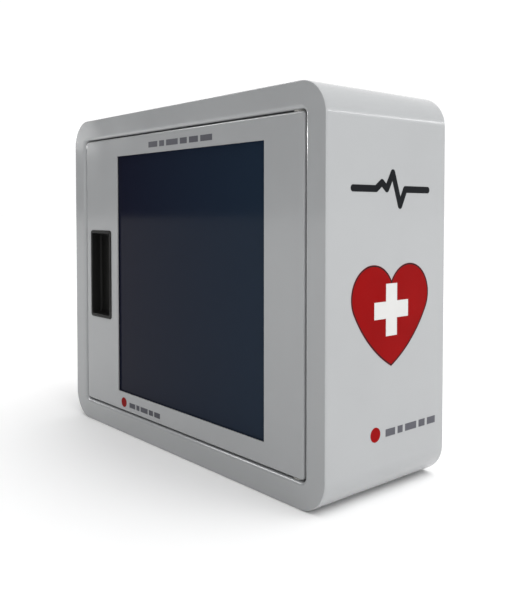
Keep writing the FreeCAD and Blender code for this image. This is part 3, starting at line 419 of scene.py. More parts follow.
def make_front_frame():
    """Front plate, 4 mm bend round the opening and the wall folded back behind it."""
    edge, lip = 0.8 * MM, 4 * MM
    sections = bend(OUTSIDE, edge, FRONT + edge, edge, 0, -90, 4)
    sections += bend(OPENING, -lip, FRONT + lip, lip, 270, 180, 8)
    sections += [at(OPENING, 0, FRAME_BACK - SMALL), at(OPENING, -SMALL, FRAME_BACK),
                 at(OPENING, -SHEET, FRAME_BACK)]
    sections += bend(OPENING, -lip, FRONT + lip, lip - SHEET, 180, 270, 4)
    sections += [at(OUTSIDE, 0, FRONT + SHEET)]
    bm = loft(sections, closed=True, steps=12)
    add("front_plate", bm, PAINT, "cabinet", "front_frame")


def make_back_panel():
    low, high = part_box("back_panel")
    size = (high.x, high.z, OUTSIDE[2] - SHEET - 0.1 * MM)
    sections = bend(size, SMALL, low.y + SMALL, SMALL, -90, 0, 2)
    sections += bend(size, SMALL, high.y - SMALL, SMALL, 0, 90, 2)
    panel = to_object("back_sheet", loft(sections, closed=False, steps=16), PAINT)
    half_x, half_z, hole_radius = 150 * MM, 120 * MM, 3.5 * MM
    places = [(x, low.y, z) for x in (-half_x, half_x) for z in (-half_z, half_z)]
    holes = drill(places, "Y", hole_radius, 10 * MM, 40)
    stand_for(carve(panel, [holes], 0.2 * MM), "cabinet", "back_panel")


def make_stops_and_seal():
    """Welded strips with spot welds, and a foam strip with a crowned face."""
    margin, count, from_edge = 30 * MM, 8, 6 * MM
    for node in ("door_stop_top", "door_stop_bottom"):
        low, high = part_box(node)
        z = low.z + from_edge if node.endswith("top") else high.z - from_edge
        pitch = (high.x - low.x - 2 * margin) / (count - 1)
        welds = [spot_weld((low.x + margin + k * pitch, high.y, z)) for k in range(count)]
        bm = joined(node_slab(node, SMALL, 2), *welds)
        add(node.replace("door_", ""), bm, PAINT, "cabinet", node)

    low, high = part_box("door_seal")
    width, crown = 8 * MM, 0.9 * MM
    section = [(t * width, low.y + crown * (2 * t - 1) ** 4) for t in (k / 8 for k in range(9))]
    section += [(width, high.y), (0, high.y)]
    path = [(high.x, high.z, 0, -1), (low.x, high.z, 1, -1), (low.x, low.z, 1, 1), (high.x, low.z, 0, 1)]
    # a corner in X and Z, then the way inward from it
    strip = skin([[(x + u * in_x, y, z + u * in_z) for u, y in section] for x, z, in_x, in_z in path])
    add("foam_strip", strip, RUBBER, "cabinet", "door_seal")


def spot_weld(place):
    """Shallow ring left by a spot welder on a face that looks to +Y."""
    r = 2.6 * MM
    return turned(place, "Y", [(r, -0.1 * MM), (r, 0.02 * MM), (0.8 * r, 0.12 * MM),
                               (0.62 * r, 0.03 * MM), (0, 0.03 * MM)], 24)


# ---------------- door

def make_door_panel():
    """Pan with a 2 mm rounded edge, cut for the window and the pull."""
    edge = 2 * MM
    inner = (DOOR[0] - SHEET, DOOR[1] - SHEET, 2 * MM)
    sections = [at(inner, 0, DOOR_FACE + SHEET), at(inner, 0, DOOR_BACK)]
    sections += [at(DOOR, SMALL, DOOR_BACK), at(DOOR, 0, DOOR_BACK - SMALL)]
    sections += bend(DOOR, edge, DOOR_FACE + edge, edge, 0, -90, 8)
    pan = to_object("door_pan", loft(sections, closed=False, steps=8), PAINT)
    reach = 5 * MM
    cuts = []
    for node, lap in (("window_pane", PANE_LAP), ("handle_cup", 1.85 * MM)):
        low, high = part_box(node)
        cuts.append(slab((low.x + lap, DOOR_FACE - reach, low.z + lap),
                         (high.x - lap, DOOR_FACE + reach, high.z - lap), 0.6 * MM, 2))
    stand_for(carve(pan, cuts, SMALL), "door", "door_panel")


def make_window():
    low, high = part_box("window_pane")
    centre, size = front_view("window_pane", 1.5 * MM)
    ease = 0.3 * MM
    sections = bend(size, ease, low.y + ease, ease, -90, 0, 3)
    sections += bend(size, ease, high.y - ease, ease, 0, 90, 3)
    add("pane", loft(sections, closed=False, centre=centre, steps=4), GLASS, "door", "window_pane")
    low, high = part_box("window_gasket")
    size = front_view("window_gasket", 1.5 * MM)[1]
    width, round_in = 7 * MM, 0.5 * MM
    hole = (size[0] - width, size[1] - width, 0.8 * MM)
    sections = [at(size, 0, low.y), at(size, 0, high.y)]
    sections += bend(hole, -round_in, high.y - round_in, round_in, 90, 270, 6)
    add("gasket", loft(sections, closed=True, centre=centre, steps=4), RUBBER, "door", "window_gasket")
    for side in ("left", "right", "top", "bottom"):
        node = f"pane_retainer_{side}"
        add(f"retainer_{side}", node_slab(node, 0.25 * MM, 2), ALUMINIUM, "door", node)


def stud_places():
    """Centres of the twelve studs, in X and Z: three beside each edge of the window."""
    low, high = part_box("window_pane")
    outward = 12.5 * MM - PANE_LAP
    width, height = high.x - low.x - 2 * PANE_LAP, high.z - low.z - 2 * PANE_LAP
    places = [(x, f * height) for x in (low.x - outward, high.x + outward) for f in (-0.43, 0, 0.43)]
    places += [(middle("window_pane").x + f * width, z)
               for z in (low.z - outward, high.z + outward) for f in (-0.4, 0, 0.4)]
    return places


def make_studs_and_nuts():
    stud_low, stud_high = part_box("pane_studs")
    nut_low, nut_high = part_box("pane_nuts")
    length = stud_high.y - stud_low.y
    crest, root, tip, pitch = 1.5 * MM, 1.25 * MM, 1.2 * MM, 0.5 * MM
    profile = [(crest, 0)]
    for k in range(int((length - 2 * pitch) / pitch)):
        profile += [(crest, (k + 0.5) * pitch), (root, (k + 1) * pitch)]
    profile += [(tip, length), (0, length)]
    studs, nuts = [], []
    for x, z in stud_places():
        studs.append(turned((x, stud_low.y, z), "Y", profile, 16))
        nuts.append(hex_nut((x, nut_low.y, z), nut_high.y - nut_low.y))
    add("studs", joined(*studs), ZINC, "door", "pane_studs")
    add("nuts", joined(*nuts), ZINC, "door", "pane_nuts")


def hex_nut(base, height):
    """Hexagon with its corners turned off at both faces."""
    flat, cut = 2.72 * MM, 0.35 * MM
    corner = flat * 1.155
    rings = []
    for y, reach in ((0, flat), (cut, corner), (height - cut, corner), (height, flat)):
        ring = []
        for a in angles(0, 345, 23):
            hexagon = flat / math.cos((a + math.pi / 6) % (math.pi / 3) - math.pi / 6)
            r = min(hexagon, reach)
            ring.append(Vector(base) + Vector((r * math.cos(a), y, r * math.sin(a))))
        rings.append(ring)
    return skin(rings)


def make_recessed_pull():
    """Moulded cup: rounded flange, walls with draft, a soft floor edge."""
    low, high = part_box("handle_cup")
    rim_width, wall, soft, back_edge = 3.65 * MM, 1.6 * MM, 0.6 * MM, 0.5 * MM
    centre, outer = front_view("handle_cup", rim_width)
    hole = (outer[0] - rim_width, outer[1] - rim_width, 1.5 * MM)
    back = (hole[0] + wall, hole[1] + wall, 2.6 * MM)
    floor = high.y - 3 * MM
    sections = [at(back, back_edge, high.y), at(back, 0, high.y - back_edge), at(back, 0, DOOR_FACE)]
    sections += [at(outer, 0, DOOR_FACE)]
    sections += bend(outer, soft, low.y + soft, soft, 0, -90, 4)
    sections += bend(hole, -soft, low.y + soft, soft, 270, 180, 4)
    draft, sweep = 0.9 * MM, 3 * MM
    sections += [at(hole, draft, floor - sweep)]
    for a in angles(18, 90, 4):
        inward = sweep * (1 - math.cos(a))
        sections += [(hole[0] - draft - inward, hole[1] - draft - inward, hole[2] + 0.2 * inward,
                      floor - sweep + sweep * math.sin(a))]
    cup = to_object("pull_cup", loft(sections, closed=False, centre=centre, steps=6), BLACK, 50)
    stand_for(cup, "door", "handle_cup")


# ---------------- print

def face_outline(node, face_x):
    """Corners of the flat face of a node at x = face_x, in order, from the lowest, as (y, z)."""
    bm = bmesh.new()
    bm.from_mesh(frame["nodes"][node].data)
    bmesh.ops.remove_doubles(bm, verts=bm.verts, dist=SLIVER)
    flat = [face for face in bm.faces if all(abs(v.co.x - face_x) < SLIVER for v in face.verts)]
    following = {}
    for face in flat:
        for corner in face.loops:
            if not any(other in flat for other in corner.edge.link_faces if other != face):
                following[corner.vert.index] = corner.link_loop_next.vert.index
    bm.verts.ensure_lookup_table()
    first = min(following, key=lambda index: bm.verts[index].co.z)
    order = [first]
    while following[order[-1]] != first:
        order.append(following[order[-1]])
    outline = [Vector((bm.verts[index].co.y, bm.verts[index].co.z)) for index in order]
    bm.free()
    return outline


def shrunk(outline, inset):
    """The outline moved inward by the same distance all round."""
    area = sum(a.x * b.y - b.x * a.y for a, b in zip(outline, outline[1:] + outline[:1]))
    side = math.copysign(1, area)
    moved = []
    for k, corner in enumerate(outline):
        arriving = (corner - outline[k - 1]).normalized()
        leaving = (outline[(k + 1) % len(outline)] - corner).normalized()
        inward = (Vector((-arriving.y, arriving.x)) + Vector((-leaving.y, leaving.x))) * side
        moved.append(corner + inward * 2 * inset / inward.length_squared)
    return moved


def make_heart_lines():
    """Thin dark line printed just inside the edge of each heart."""
    margin, width, film = 0.3 * MM, 1.1 * MM, 0.03 * MM
    for facing, sign in (("right", 1), ("left", -1)):
        low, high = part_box(f"heart_{facing}")
        face_x = high.x if sign > 0 else low.x
        outline = face_outline(f"heart_{facing}", face_x)
        rings = [[(face_x + sign * lift, y, z) for y, z in shrunk(outline, inset)]
                 for inset, lift in ((margin, -film), (margin, film), (margin + width, film),
                                     (margin + width, -film))]
        add(f"heart_line_{facing}", skin(rings, closed=True), FINISH["vinyl_black"], "cabinet")


# ---------------- small parts: tools

def rounded(corners, steps=5):
    """Outline whose corners (u, v, radius) are turned into arcs."""
    outline = []
    for k, (u, v, radius) in enumerate(corners):
        corner = Vector((u, v))
        if not radius:
            outline.append(tuple(corner))
            continue
        back = (Vector(corners[k - 1][:2]) - corner).normalized()
        ahead = (Vector(corners[(k + 1) % len(corners)][:2]) - corner).normalized()
        half = back.angle(ahead) / 2
        centre = corner + (back + ahead).normalized() * radius / math.sin(half)
        start = corner + back * radius / math.tan(half) - centre
        sweep = start.angle_signed(corner + ahead * radius / math.tan(half) - centre)
        for n in range(steps + 1):
            outline.append(tuple(centre + Matrix.Rotation(-sweep * n / steps, 2) @ start))
    return outline


def plate(low_u, high_u, low_v, high_v, radius, steps=5):
    """Rounded rectangle as an outline."""
    return rounded([(low_u, low_v, radius), (high_u, low_v, radius),
                    (high_u, high_v, radius), (low_u, high_v, radius)], steps)


def angle_outline(heel, long_end, short_end, sheet, outer):
    """Outline of an L: heel is the outside corner, the two ends are where its legs stop."""
    (hu, hv), (lu, lv), (su, sv) = heel, long_end, short_end
    inner = outer - sheet
    across, up = math.copysign(sheet, lu - hu), math.copysign(sheet, sv - hv)
    return rounded([(lu, lv, 0), (hu, hv, outer), (su, sv, 0), (su + across, sv, 0),
                    (hu + across, hv + up, inner), (lu, lv + up, 0)])


def drill(places, axis, radius, length, steps=24):
    """Round cutters, each centred on its place."""
    index = "XYZ".index(axis)
    made = []
    for place in places:
        base = Vector(place)
        base[index] -= length / 2
        made.append(turned(base, axis, [(radius, 0), (radius, length)], steps))
    return joined(*made)


def threaded(radius, pitch, start, end):
    """Lathe profile of a threaded shank with a tapered tip."""
    depth = 0.55 * pitch
    profile = []
    for k in range(int((end - start - pitch) / pitch)):
        profile += [(radius, start + (k + 0.4) * pitch), (radius - depth, start + (k + 0.9) * pitch)]
    return profile + [(radius - depth, end - 0.4 * pitch), (radius - 1.6 * depth, end), (0, end)]


def pan_head(radius, height, shank, length):
    """Screw along +Z with its seat at 0: a domed head below 0 with a cross recess, the shank above."""
    dome = [(radius * math.sin(a), -height + 0.45 * height * (1 - math.cos(a)))
            for a in angles(0, 90, 8)]
    profile = dome + [(radius, -0.12 * height), (0.95 * radius, 0), (shank, 0)]
    profile += threaded(shank, 0.6 * MM, 0, length)
    screw = to_object("screw", turned((0, 0, 0), "Z", profile, 32), ZINC)
    arm, blade, deep = 0.55 * radius, 0.13 * radius, 0.6 * height
    top = -height - 0.1 * MM
    cutters = [slab((-arm, -blade, top), (arm, blade, top + deep), 0.03 * MM, 1),
               slab((-blade, -arm, top), (blade, arm, top + deep), 0.03 * MM, 1)]
    return carve(screw, cutters)


def place_screws(node, seats, turn, sizes, body):
    """Copies of one pan-head screw at each seat; turn leads its +Z along the shank."""
    pattern = pan_head(*sizes)
    copies = []
    for k, seat in enumerate(seats):
        bm = bmesh.new()
        bm.from_mesh(pattern.data)
        twist = Matrix.Rotation(0.4 + 1.1 * k, 4, "Z")
        bmesh.ops.transform(bm, matrix=Matrix.Translation(Vector(seat)) @ turn @ twist, verts=bm.verts)
        copies.append(bm)
    bpy.data.objects.remove(pattern)
    add(node + "_set", joined(*copies), ZINC, body, node)


def helix_wire(centre, low, high, radius, wire, turns, sides=10, steps=28):
    """Round wire wound about Z, its first and last turns closed up."""
    total = int(turns * steps)
    rings = []
    for k in range(total + 1):
        t = k / total
        a = 2 * math.pi * turns * t
        ease = min(1, max(0, (t * turns - 0.8) / (turns - 1.6)))
        z = low + wire + ease * (high - low - 2 * wire)
        out = Vector((math.cos(a), math.sin(a), 0))
        core = Vector((centre[0], centre[1], z)) + out * radius
        rings.append([core + out * wire * math.cos(b) + Vector((0, 0, wire * math.sin(b)))
                      for b in (2 * math.pi * n / sides for n in range(sides))])
    return skin(rings)


def blade(root, size, axis, bevel):
    """Flat terminal that stands on its root: size is its reach along the axis, half its size across it."""
    low, high = Vector(root) - Vector(size), Vector(root) + Vector(size)
    low["XYZ".index(axis)] = root["XYZ".index(axis)] - 0.5 * MM
    return slab(low, high, bevel, 2)


# ---------------- hinge

hinge_line = middle("hinge_pin_lower")
HINGE_FOOT = (hinge_line.x, hinge_line.y, 0)
BRACKET_PLATE = 3 * MM


def make_hinge_bushes():
    for end, sign in (("upper", 1), ("lower", -1)):
        low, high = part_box(f"hinge_bush_{end}")
        face, tip = (low.z, high.z) if sign > 0 else (high.z, low.z)
        bore, sleeve, flange = 2.55 * MM, 3.5 * MM, (high.x - low.x) / 2
        step, ease, length = 1.1 * MM, 0.3 * MM, abs(tip - face)
        profile = [(bore + ease, 0), (flange - ease, 0), (flange, ease), (flange, step - ease / 2),
                   (flange - ease / 2, step), (sleeve, step), (sleeve, length - ease),
                   (sleeve - ease, length), (bore + ease, length), (bore, length - ease), (bore, ease)]
        bush = turned((hinge_line.x, hinge_line.y, face), "Z", [(r, sign * z) for r, z in profile], 36,
                      hollow=True)
        add(f"bush_{end}", bush, NYLON, "cabinet", f"hinge_bush_{end}")


def make_hinge_pins():
    radius, collar, ease, fine = 2.5 * MM, 4.5 * MM, 0.5 * MM, 0.2 * MM
    low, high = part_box("hinge_pin_lower")
    neck = high.z - 1.5 * MM
    profile = [(0, low.z), (radius - ease, low.z), (radius, low.z + ease), (radius, neck),
               (collar - fine, neck), (collar, neck + fine), (collar, high.z - ease),
               (collar - ease, high.z), (0, high.z)]
    add("pin_lower", turned(HINGE_FOOT, "Z", profile, 36), ZINC, "door", "hinge_pin_lower")
    low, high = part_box("hinge_pin_upper")
    collar_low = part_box("hinge_pin_spring")[1].z + fine
    collar_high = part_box("hinge_bracket_upper")[1].z - BRACKET_PLATE
    profile = [(0, low.z), (radius - ease, low.z), (radius, low.z + ease), (radius, collar_low),
               (collar - fine, collar_low), (collar, collar_low + fine), (collar, collar_high - fine),
               (collar - fine, collar_high), (radius, collar_high), (radius, high.z - ease),
               (radius - ease, high.z), (0, high.z)]
    add("pin_upper", turned(HINGE_FOOT, "Z", profile, 36), ZINC, "door", "hinge_pin_upper")
    low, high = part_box("hinge_pin_spring")
    wire = 0.6 * MM
    coil = helix_wire(hinge_line, low.z, high.z, (high.x - low.x) / 2 - wire, wire, 7.5)
    add("pin_spring", coil, ZINC, "door", "hinge_pin_spring")


def make_hinge_brackets():
    """Bent brackets: a thick plate for the pin, a web against the door's wall, a guide on the upper one."""
    web, guide_start, thick = 2 * MM, 4 * MM, BRACKET_PLATE
    outside, inside, fine = 2.5 * MM, 1 * MM, 0.5 * MM
    low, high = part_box("hinge_bracket_upper")
    guide_x, web_x = low.x + guide_start, high.x - web
    bent_bracket("upper", [
        (high.z, low.x, inside), (high.z, high.x, outside), (low.z, high.x, outside),
        (low.z, guide_x, inside), (low.z + web, guide_x, fine), (low.z + web, web_x, inside),
        (high.z - thick, web_x, inside), (high.z - thick, low.x, inside)])
    low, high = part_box("hinge_bracket_lower")
    bent_bracket("lower", [
        (low.z, low.x, inside), (low.z, high.x, outside), (high.z, high.x, fine), (high.z, web_x, fine),
        (low.z + thick, web_x, inside), (low.z + thick, low.x, inside)])


def bent_bracket(end, corners):
    """Bracket across the door's depth, drilled for its pin."""
    node = f"hinge_bracket_{end}"
    low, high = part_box(node)
    bracket = to_object(f"bracket_{end}", extruded(rounded(corners), "Y", low.y, high.y, 0.25 * MM), ZINC)
    pin_hole = drill([(hinge_line.x, hinge_line.y, middle(node).z)], "Z", 2.51 * MM, 60 * MM)
    stand_for(carve(bracket, [pin_hole], 0.12 * MM), "door", node)


# ---------------- catch, tabs, door switch

FORWARD = Matrix.Rotation(math.radians(90), 4, "X")
SMALL_HEAD, SMALL_SHANK = 2.8 * MM, 1.5 * MM  # radii of the M3 screws


def seats_along_z(node, y):
    """Where the two screws of a node sit, one above the other."""
    low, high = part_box(node)
    return [(middle(node).x, y, z) for z in (low.z + SMALL_HEAD, high.z - SMALL_HEAD)]


def make_clamp():
    """Bent strap across the back of the pull, with its two screws."""
    low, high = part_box("handle_clamp")
    outer, inner = 3 * MM, 1.5 * MM
    outline = rounded([(low.y, low.z, 0), (high.y, low.z, outer), (high.y, high.z, outer), (low.y, high.z, 0),
                       (low.y, high.z - SHEET, 0), (high.y - SHEET, high.z - SHEET, inner),
                       (high.y - SHEET, low.z + SHEET, inner), (low.y, low.z + SHEET, 0)])
    strap = to_object("clamp_strap", extruded(outline, "X", low.x, high.x, 0.3 * MM), ZINC)
    seats = seats_along_z("handle_screws", high.y)
    stand_for(carve(strap, [drill(seats, "Y", 1.6 * MM, 8 * MM)], 0.12 * MM), "door", "handle_clamp")
    head_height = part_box("handle_screws")[1].y - high.y
    place_screws("handle_screws", seats, FORWARD, (SMALL_HEAD, head_height, SMALL_SHANK, 3.8 * MM), "door")


def make_door_tabs():
    """Steel angles on the door for the catch and the switch."""
    for node in ("strike_plate", "switch_tab"):
        low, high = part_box(node)
        outline = angle_outline((low.x, high.y), (high.x, high.y), (low.x, low.y), SHEET, 2.5 * MM)
        add(node + "_bent", extruded(outline, "Z", low.z, high.z, 0.3 * MM), ZINC, "door", node)


CATCH_NECK = -180.5 * MM  # left side of the catch where it passes the stop


def make_left_stop():
    """Side stop, notched for the catch and drilled for the switch's plunger."""
    low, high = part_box("door_stop_left")
    catch_low, catch_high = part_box("catch_housing")
    past, clear = 5 * MM, 1 * MM
    notch = slab((CATCH_NECK - 0.5 * MM, low.y - past, catch_low.z - clear),
                 (high.x + past, high.y + past, catch_high.z + clear), 0.4 * MM, 2)
    switch = middle("switch_plunger")
    cutters = [notch, drill([(switch.x, low.y, switch.z)], "Y", 3.2 * MM, 10 * MM)]
    stop = to_object("stop_left", slab(low, high, 0.15 * MM, 1), PAINT)
    stand_for(carve(stop, cutters, 0.15 * MM), "cabinet", "door_stop_left")


def make_catch():
    """Magnetic catch: moulded case with a screwed ear, bar magnet and two steel poles."""
    low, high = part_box("catch_housing")
    ear_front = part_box("door_stop_left")[1].y
    ear_back, soft, neck = ear_front + 4 * MM, 0.8 * MM, CATCH_NECK
    outline = rounded([
        (neck, low.y, soft), (high.x, low.y, soft), (high.x, high.y, 2 * MM), (neck, high.y, soft),
        (neck, ear_back, 0.5 * MM), (low.x, ear_back, soft), (low.x, ear_front, 0), (neck, ear_front, 0)], 4)
    housing = to_object("catch_case", extruded(outline, "Z", low.z, high.z, 0.6 * MM), BLACK)
    pole_low, pole_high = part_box("catch_poles")
    slot = slab((pole_low.x, low.y - 5 * MM, pole_low.z), pole_high, 0.05 * MM, 1)
    seats = seats_along_z("catch_screws", ear_back)
    cutters = [slot, drill(seats, "Y", 1.7 * MM, 16 * MM)]
    stand_for(carve(housing, cutters, 0.15 * MM), "cabinet", "catch_housing")
    add("catch_bar", node_slab("catch_magnet", 0.25 * MM, 2), FERRITE, "cabinet", "catch_magnet")
    thick = 1.2 * MM
    plates = [slab(pole_low, (pole_low.x + thick, pole_high.y, pole_high.z), 0.2 * MM, 2),
              slab((pole_high.x - thick, pole_low.y, pole_low.z), pole_high, 0.2 * MM, 2)]
    add("catch_plates", joined(*plates), ZINC, "cabinet", "catch_poles")
    head_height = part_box("catch_screws")[1].y - ear_back
    place_screws("catch_screws", seats, FORWARD, (SMALL_HEAD, head_height, SMALL_SHANK, 5.5 * MM), "cabinet")


def make_door_switch():
    """Plunger switch: moulded block with two blade terminals, and its round plunger."""
    low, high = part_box("door_switch_body")
    centre = middle("switch_plunger")
    block = to_object("switch_block", slab(low, high, 0.8 * MM, 3), BLACK)
    past, deep, wide = 1 * MM, 0.5 * MM, 1 * MM
    cutters = [slab((low.x - past, y, low.z - past), (low.x + deep, y + wide, high.z + past), 0.1 * MM, 1)
               for y in (low.y + 6 * MM, low.y + 12 * MM)]
    bore, lead = 2.56 * MM, 2 * MM
    depth = high.y - low.y + 1 * MM
    cutters += [turned((centre.x, low.y - lead, centre.z), "Y", [(bore, 0), (bore, depth)], 32)]
    stand_for(carve(block, cutters, 0.15 * MM), "cabinet", "door_switch_body")
    blades = [blade((centre.x, high.y, z), (3 * MM, 7 * MM, 0.4 * MM), "Y", 0.2 * MM)
              for z in (centre.z - 5 * MM, centre.z + 5 * MM)]
    add("switch_blades", joined(*blades), ZINC, "cabinet")
    low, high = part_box("switch_plunger")
    radius, tip, ease = 2.5 * MM, 1.25 * MM, 0.3 * MM
    profile = [(0, low.y), (radius - tip, low.y)]
    profile += [(radius - tip + tip * math.sin(a), low.y + tip * (1 - math.cos(a)))
                for a in angles(15, 90, 5)]
    profile += [(radius, high.y - ease), (radius - ease, high.y), (0, high.y)]
    plunger = turned((centre.x, 0, centre.z), "Y", profile, 32)
    add("plunger_stem", plunger, NYLON, "plunger", "switch_plunger")


# ---------------- alarm

def make_alarm_case():
    """Ceiling plate, base and cover; the cover has a ring of siren holes and the switch's cut-out."""
    head, shank, through = 3.2 * MM, 1.75 * MM, 30 * MM
    low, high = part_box("alarm_screws")
    y, z = middle("alarm_screws").y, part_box("alarm_base")[0].z
    seats = [(low.x + head, y, z), (high.x - head, y, z)]
    bracket = to_object("ceiling_plate", flat_plate("alarm_bracket", 3 * MM, 0.25 * MM), PAINT)
    stand_for(carve(bracket, [drill(seats, "Z", shank, through)], 0.1 * MM), "cabinet", "alarm_bracket")
    base = to_object("case_base", flat_plate("alarm_base", 4 * MM, 0.5 * MM), ALARM)
    stand_for(carve(base, [drill(seats, "Z", 2 * MM, through)], 0.1 * MM), "cabinet", "alarm_base")
    low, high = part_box("alarm_cover")
    wall = 2 * MM
    cover = to_object("case_cover", flat_plate("alarm_cover", 4 * MM, 1.4 * MM, 6), ALARM)
    inner = plate(low.x + wall, high.x - wall, low.y + wall, high.y - wall, 2 * MM)
    hollow = extruded(inner, "Z", low.z + wall, high.z - wall / 2)
    mouth = extruded(inner, "Z", high.z - wall, high.z + wall)
    siren, ring_radius = middle("alarm_siren"), 7 * MM
    ring = [(siren.x + ring_radius * math.cos(a), siren.y + ring_radius * math.sin(a), low.z)
            for a in angles(0, 315, 7)]
    window = upright(middle("alarm_switch_body"), 9.2 * MM, 5.8 * MM, low.z - wall, low.z + 2 * wall)
    cutters = [hollow, mouth, drill(ring, "Z", 1.5 * MM, 10 * MM), window]
    stand_for(carve(cover, cutters, 0.15 * MM), "cabinet", "alarm_cover")
    place_screws("alarm_screws", seats, Matrix.Identity(4), (head, 2 * MM, shank, 5.5 * MM), "cabinet")


def flat_plate(node, radius, bevel, steps=5):
    """Plate in a node's box with round corners, seen from above."""
    low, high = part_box(node)
    return extruded(plate(low.x, high.x, low.y, high.y, radius, steps), "Z", low.z, high.z, bevel)


def upright(centre, half_x, half_y, low_z, high_z):
    """Upright block round a centre."""
    return slab((centre.x - half_x, centre.y - half_y, low_z), (centre.x + half_x, centre.y + half_y, high_z),
                0.3 * MM, 2)


def make_siren():
    """Drum with a sound hole below and a smaller boss above."""
    low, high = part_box("alarm_siren")
    hole, hole_depth, drum, edge, ease = 1.8 * MM, 1.6 * MM, 9 * MM, 0.7 * MM, 0.3 * MM
    height, reach = high.z - low.z, (high.x - low.x) / 2
    boss = 0.7 * reach
    profile = [(0, hole_depth), (hole, hole_depth), (hole, ease), (hole + ease, 0), (reach - edge, 0),
               (reach, edge), (reach, drum - edge), (reach - edge, drum), (boss, drum),
               (boss, height - ease), (boss - ease, height), (0, height)]
    siren = turned((middle("alarm_siren").x, middle("alarm_siren").y, low.z), "Z", profile, 48)
    add("siren", siren, SIREN, "cabinet", "alarm_siren")


def make_circuit_board():
    """Board with four holes; a chip, a row of small parts and two capacitors hang under it."""
    low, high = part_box("alarm_circuit_board")
    board = to_object("board", flat_plate("alarm_circuit_board", 1 * MM, 0.1 * MM, 3), BOARD)
    inset = 3 * MM
    corners = [(x, y, low.z) for x in (low.x + inset, high.x - inset)
               for y in (low.y + inset, high.y - inset)]
    stand_for(carve(board, [drill(corners, "Z", 1.1 * MM, 6 * MM)]), "cabinet", "alarm_circuit_board")
    start, size = Vector((low.x + 3 * MM, low.y + 6 * MM, low.z - 2.2 * MM)), Vector((10, 6, 2.2)) * MM
    chips = [slab(start, start + size, 0.3 * MM, 2)]
    size = Vector((2 * MM, 1.2 * MM, 0.8 * MM))
    for k in range(5):
        start = Vector((low.x + (4 + 3 * k) * MM, high.y - 5 * MM, low.z - size.z))
        chips.append(slab(start, start + size, 0.15 * MM, 1))
    add("board_chips", joined(*chips), SIREN, "cabinet")
    radius, height, inset = 2.5 * MM, 5 * MM, 5 * MM
    can = [(0, 0), (radius - 0.2 * MM, 0), (radius, 0.2 * MM), (radius, height - 0.4 * MM),
           (radius - 0.3 * MM, height), (0, height)]
    cans = [turned((high.x - 6 * MM, y, low.z - height), "Z", can, 24)
            for y in (low.y + inset, high.y - inset)]
    add("board_cans", joined(*cans), ALUMINIUM, "cabinet")


def make_battery():
    """Block battery with its two snap studs, and the clip that takes them."""
    low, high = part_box("alarm_battery")
    stud, half_pitch = 2 * MM, 6.3 * MM
    cell = slab(low, (high.x - stud, high.y, high.z), 1.5 * MM, 4)
    add("battery", cell, BATTERY, "cabinet", "alarm_battery")
    snaps = []
    centre = middle("alarm_battery")
    for y, radius in ((centre.y - half_pitch, 2.8 * MM), (centre.y + half_pitch, 3.8 * MM)):
        profile = [(radius, 0), (0.85 * radius, 0.6 * stud), (radius, 0.9 * stud), (0.9 * radius, stud),
                   (0.6 * radius, stud), (0.55 * radius, 0.4 * stud), (0, 0.4 * stud)]
        snaps.append(turned((high.x - stud, y, centre.z), "X", profile, 28))
    add("battery_snaps", joined(*snaps), ZINC, "cabinet")
    low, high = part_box("alarm_battery_clip")
    clip = extruded(plate(low.y, high.y, low.z, high.z, 2 * MM), "X", low.x, high.x, 0.3 * MM)
    add("battery_clip", clip, BLACK, "cabinet", "alarm_battery_clip")


def make_alarm_switch():
    """Switch body with its bezel and well, blade terminals, and a rocker with a hollowed face."""
    low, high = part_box("alarm_switch_body")
    centre = middle("alarm_switch_body")
    lip, well_depth = 0.8 * MM, 7 * MM
    bezel = extruded(plate(low.x, high.x, low.y, high.y, 1 * MM, 4), "Z", low.z, low.z + lip, 0.25 * MM)
    body = to_object("rocker_case", bezel, BLACK)
    combine(body, upright(centre, 9 * MM, 5.6 * MM, low.z + lip / 2, high.z), "UNION")
    well = upright(centre, 7.6 * MM, 4.6 * MM, low.z - 2 * MM, low.z + lip + well_depth)
    stand_for(carve(body, [well], 0.1 * MM), "cabinet", "alarm_switch_body")
    blades = [blade((x, centre.y, high.z), (0.4 * MM, 2.4 * MM, 6 * MM), "Z", 0.15 * MM)
              for x in (centre.x - 5 * MM, centre.x + 5 * MM)]
    add("rocker_blades", joined(*blades), ZINC, "cabinet")

    half, drop, width, back, tilt = 6.8 * MM, 4.2 * MM, 8.6 * MM, 0.4 * MM, math.radians(-6)
    outline = rounded([(back, -half, 0.4 * MM), (-drop, -half, 0.5 * MM), (1.2 * MM - drop, 0, 14 * MM),
                       (-drop, half, 0.5 * MM), (back, half, 0.4 * MM)], 6)
    paddle = extruded(outline, "Y", -width / 2, width / 2, 0.25 * MM)
    axle, ease, length = 1 * MM, 0.1 * MM, 10.4 * MM
    profile = [(0, 0), (axle - ease, 0), (axle, ease), (axle, length - ease), (axle - ease, length),
               (0, length)]
    rocker = joined(paddle, turned((0, -length / 2, 0), "Y", profile, 20))
    pivot = next(joint["pos_m"] for joint in frame["joints"] if joint["name"] == "alarm_switch_tilt")
    place = Matrix.Translation(Vector(pivot)) @ Matrix.Rotation(tilt, 4, "Y")
    bmesh.ops.transform(rocker, matrix=place, verts=rocker.verts)
    add("rocker_paddle", rocker, BLACK, "rocker", "alarm_rocker")


# ---------------- shelf

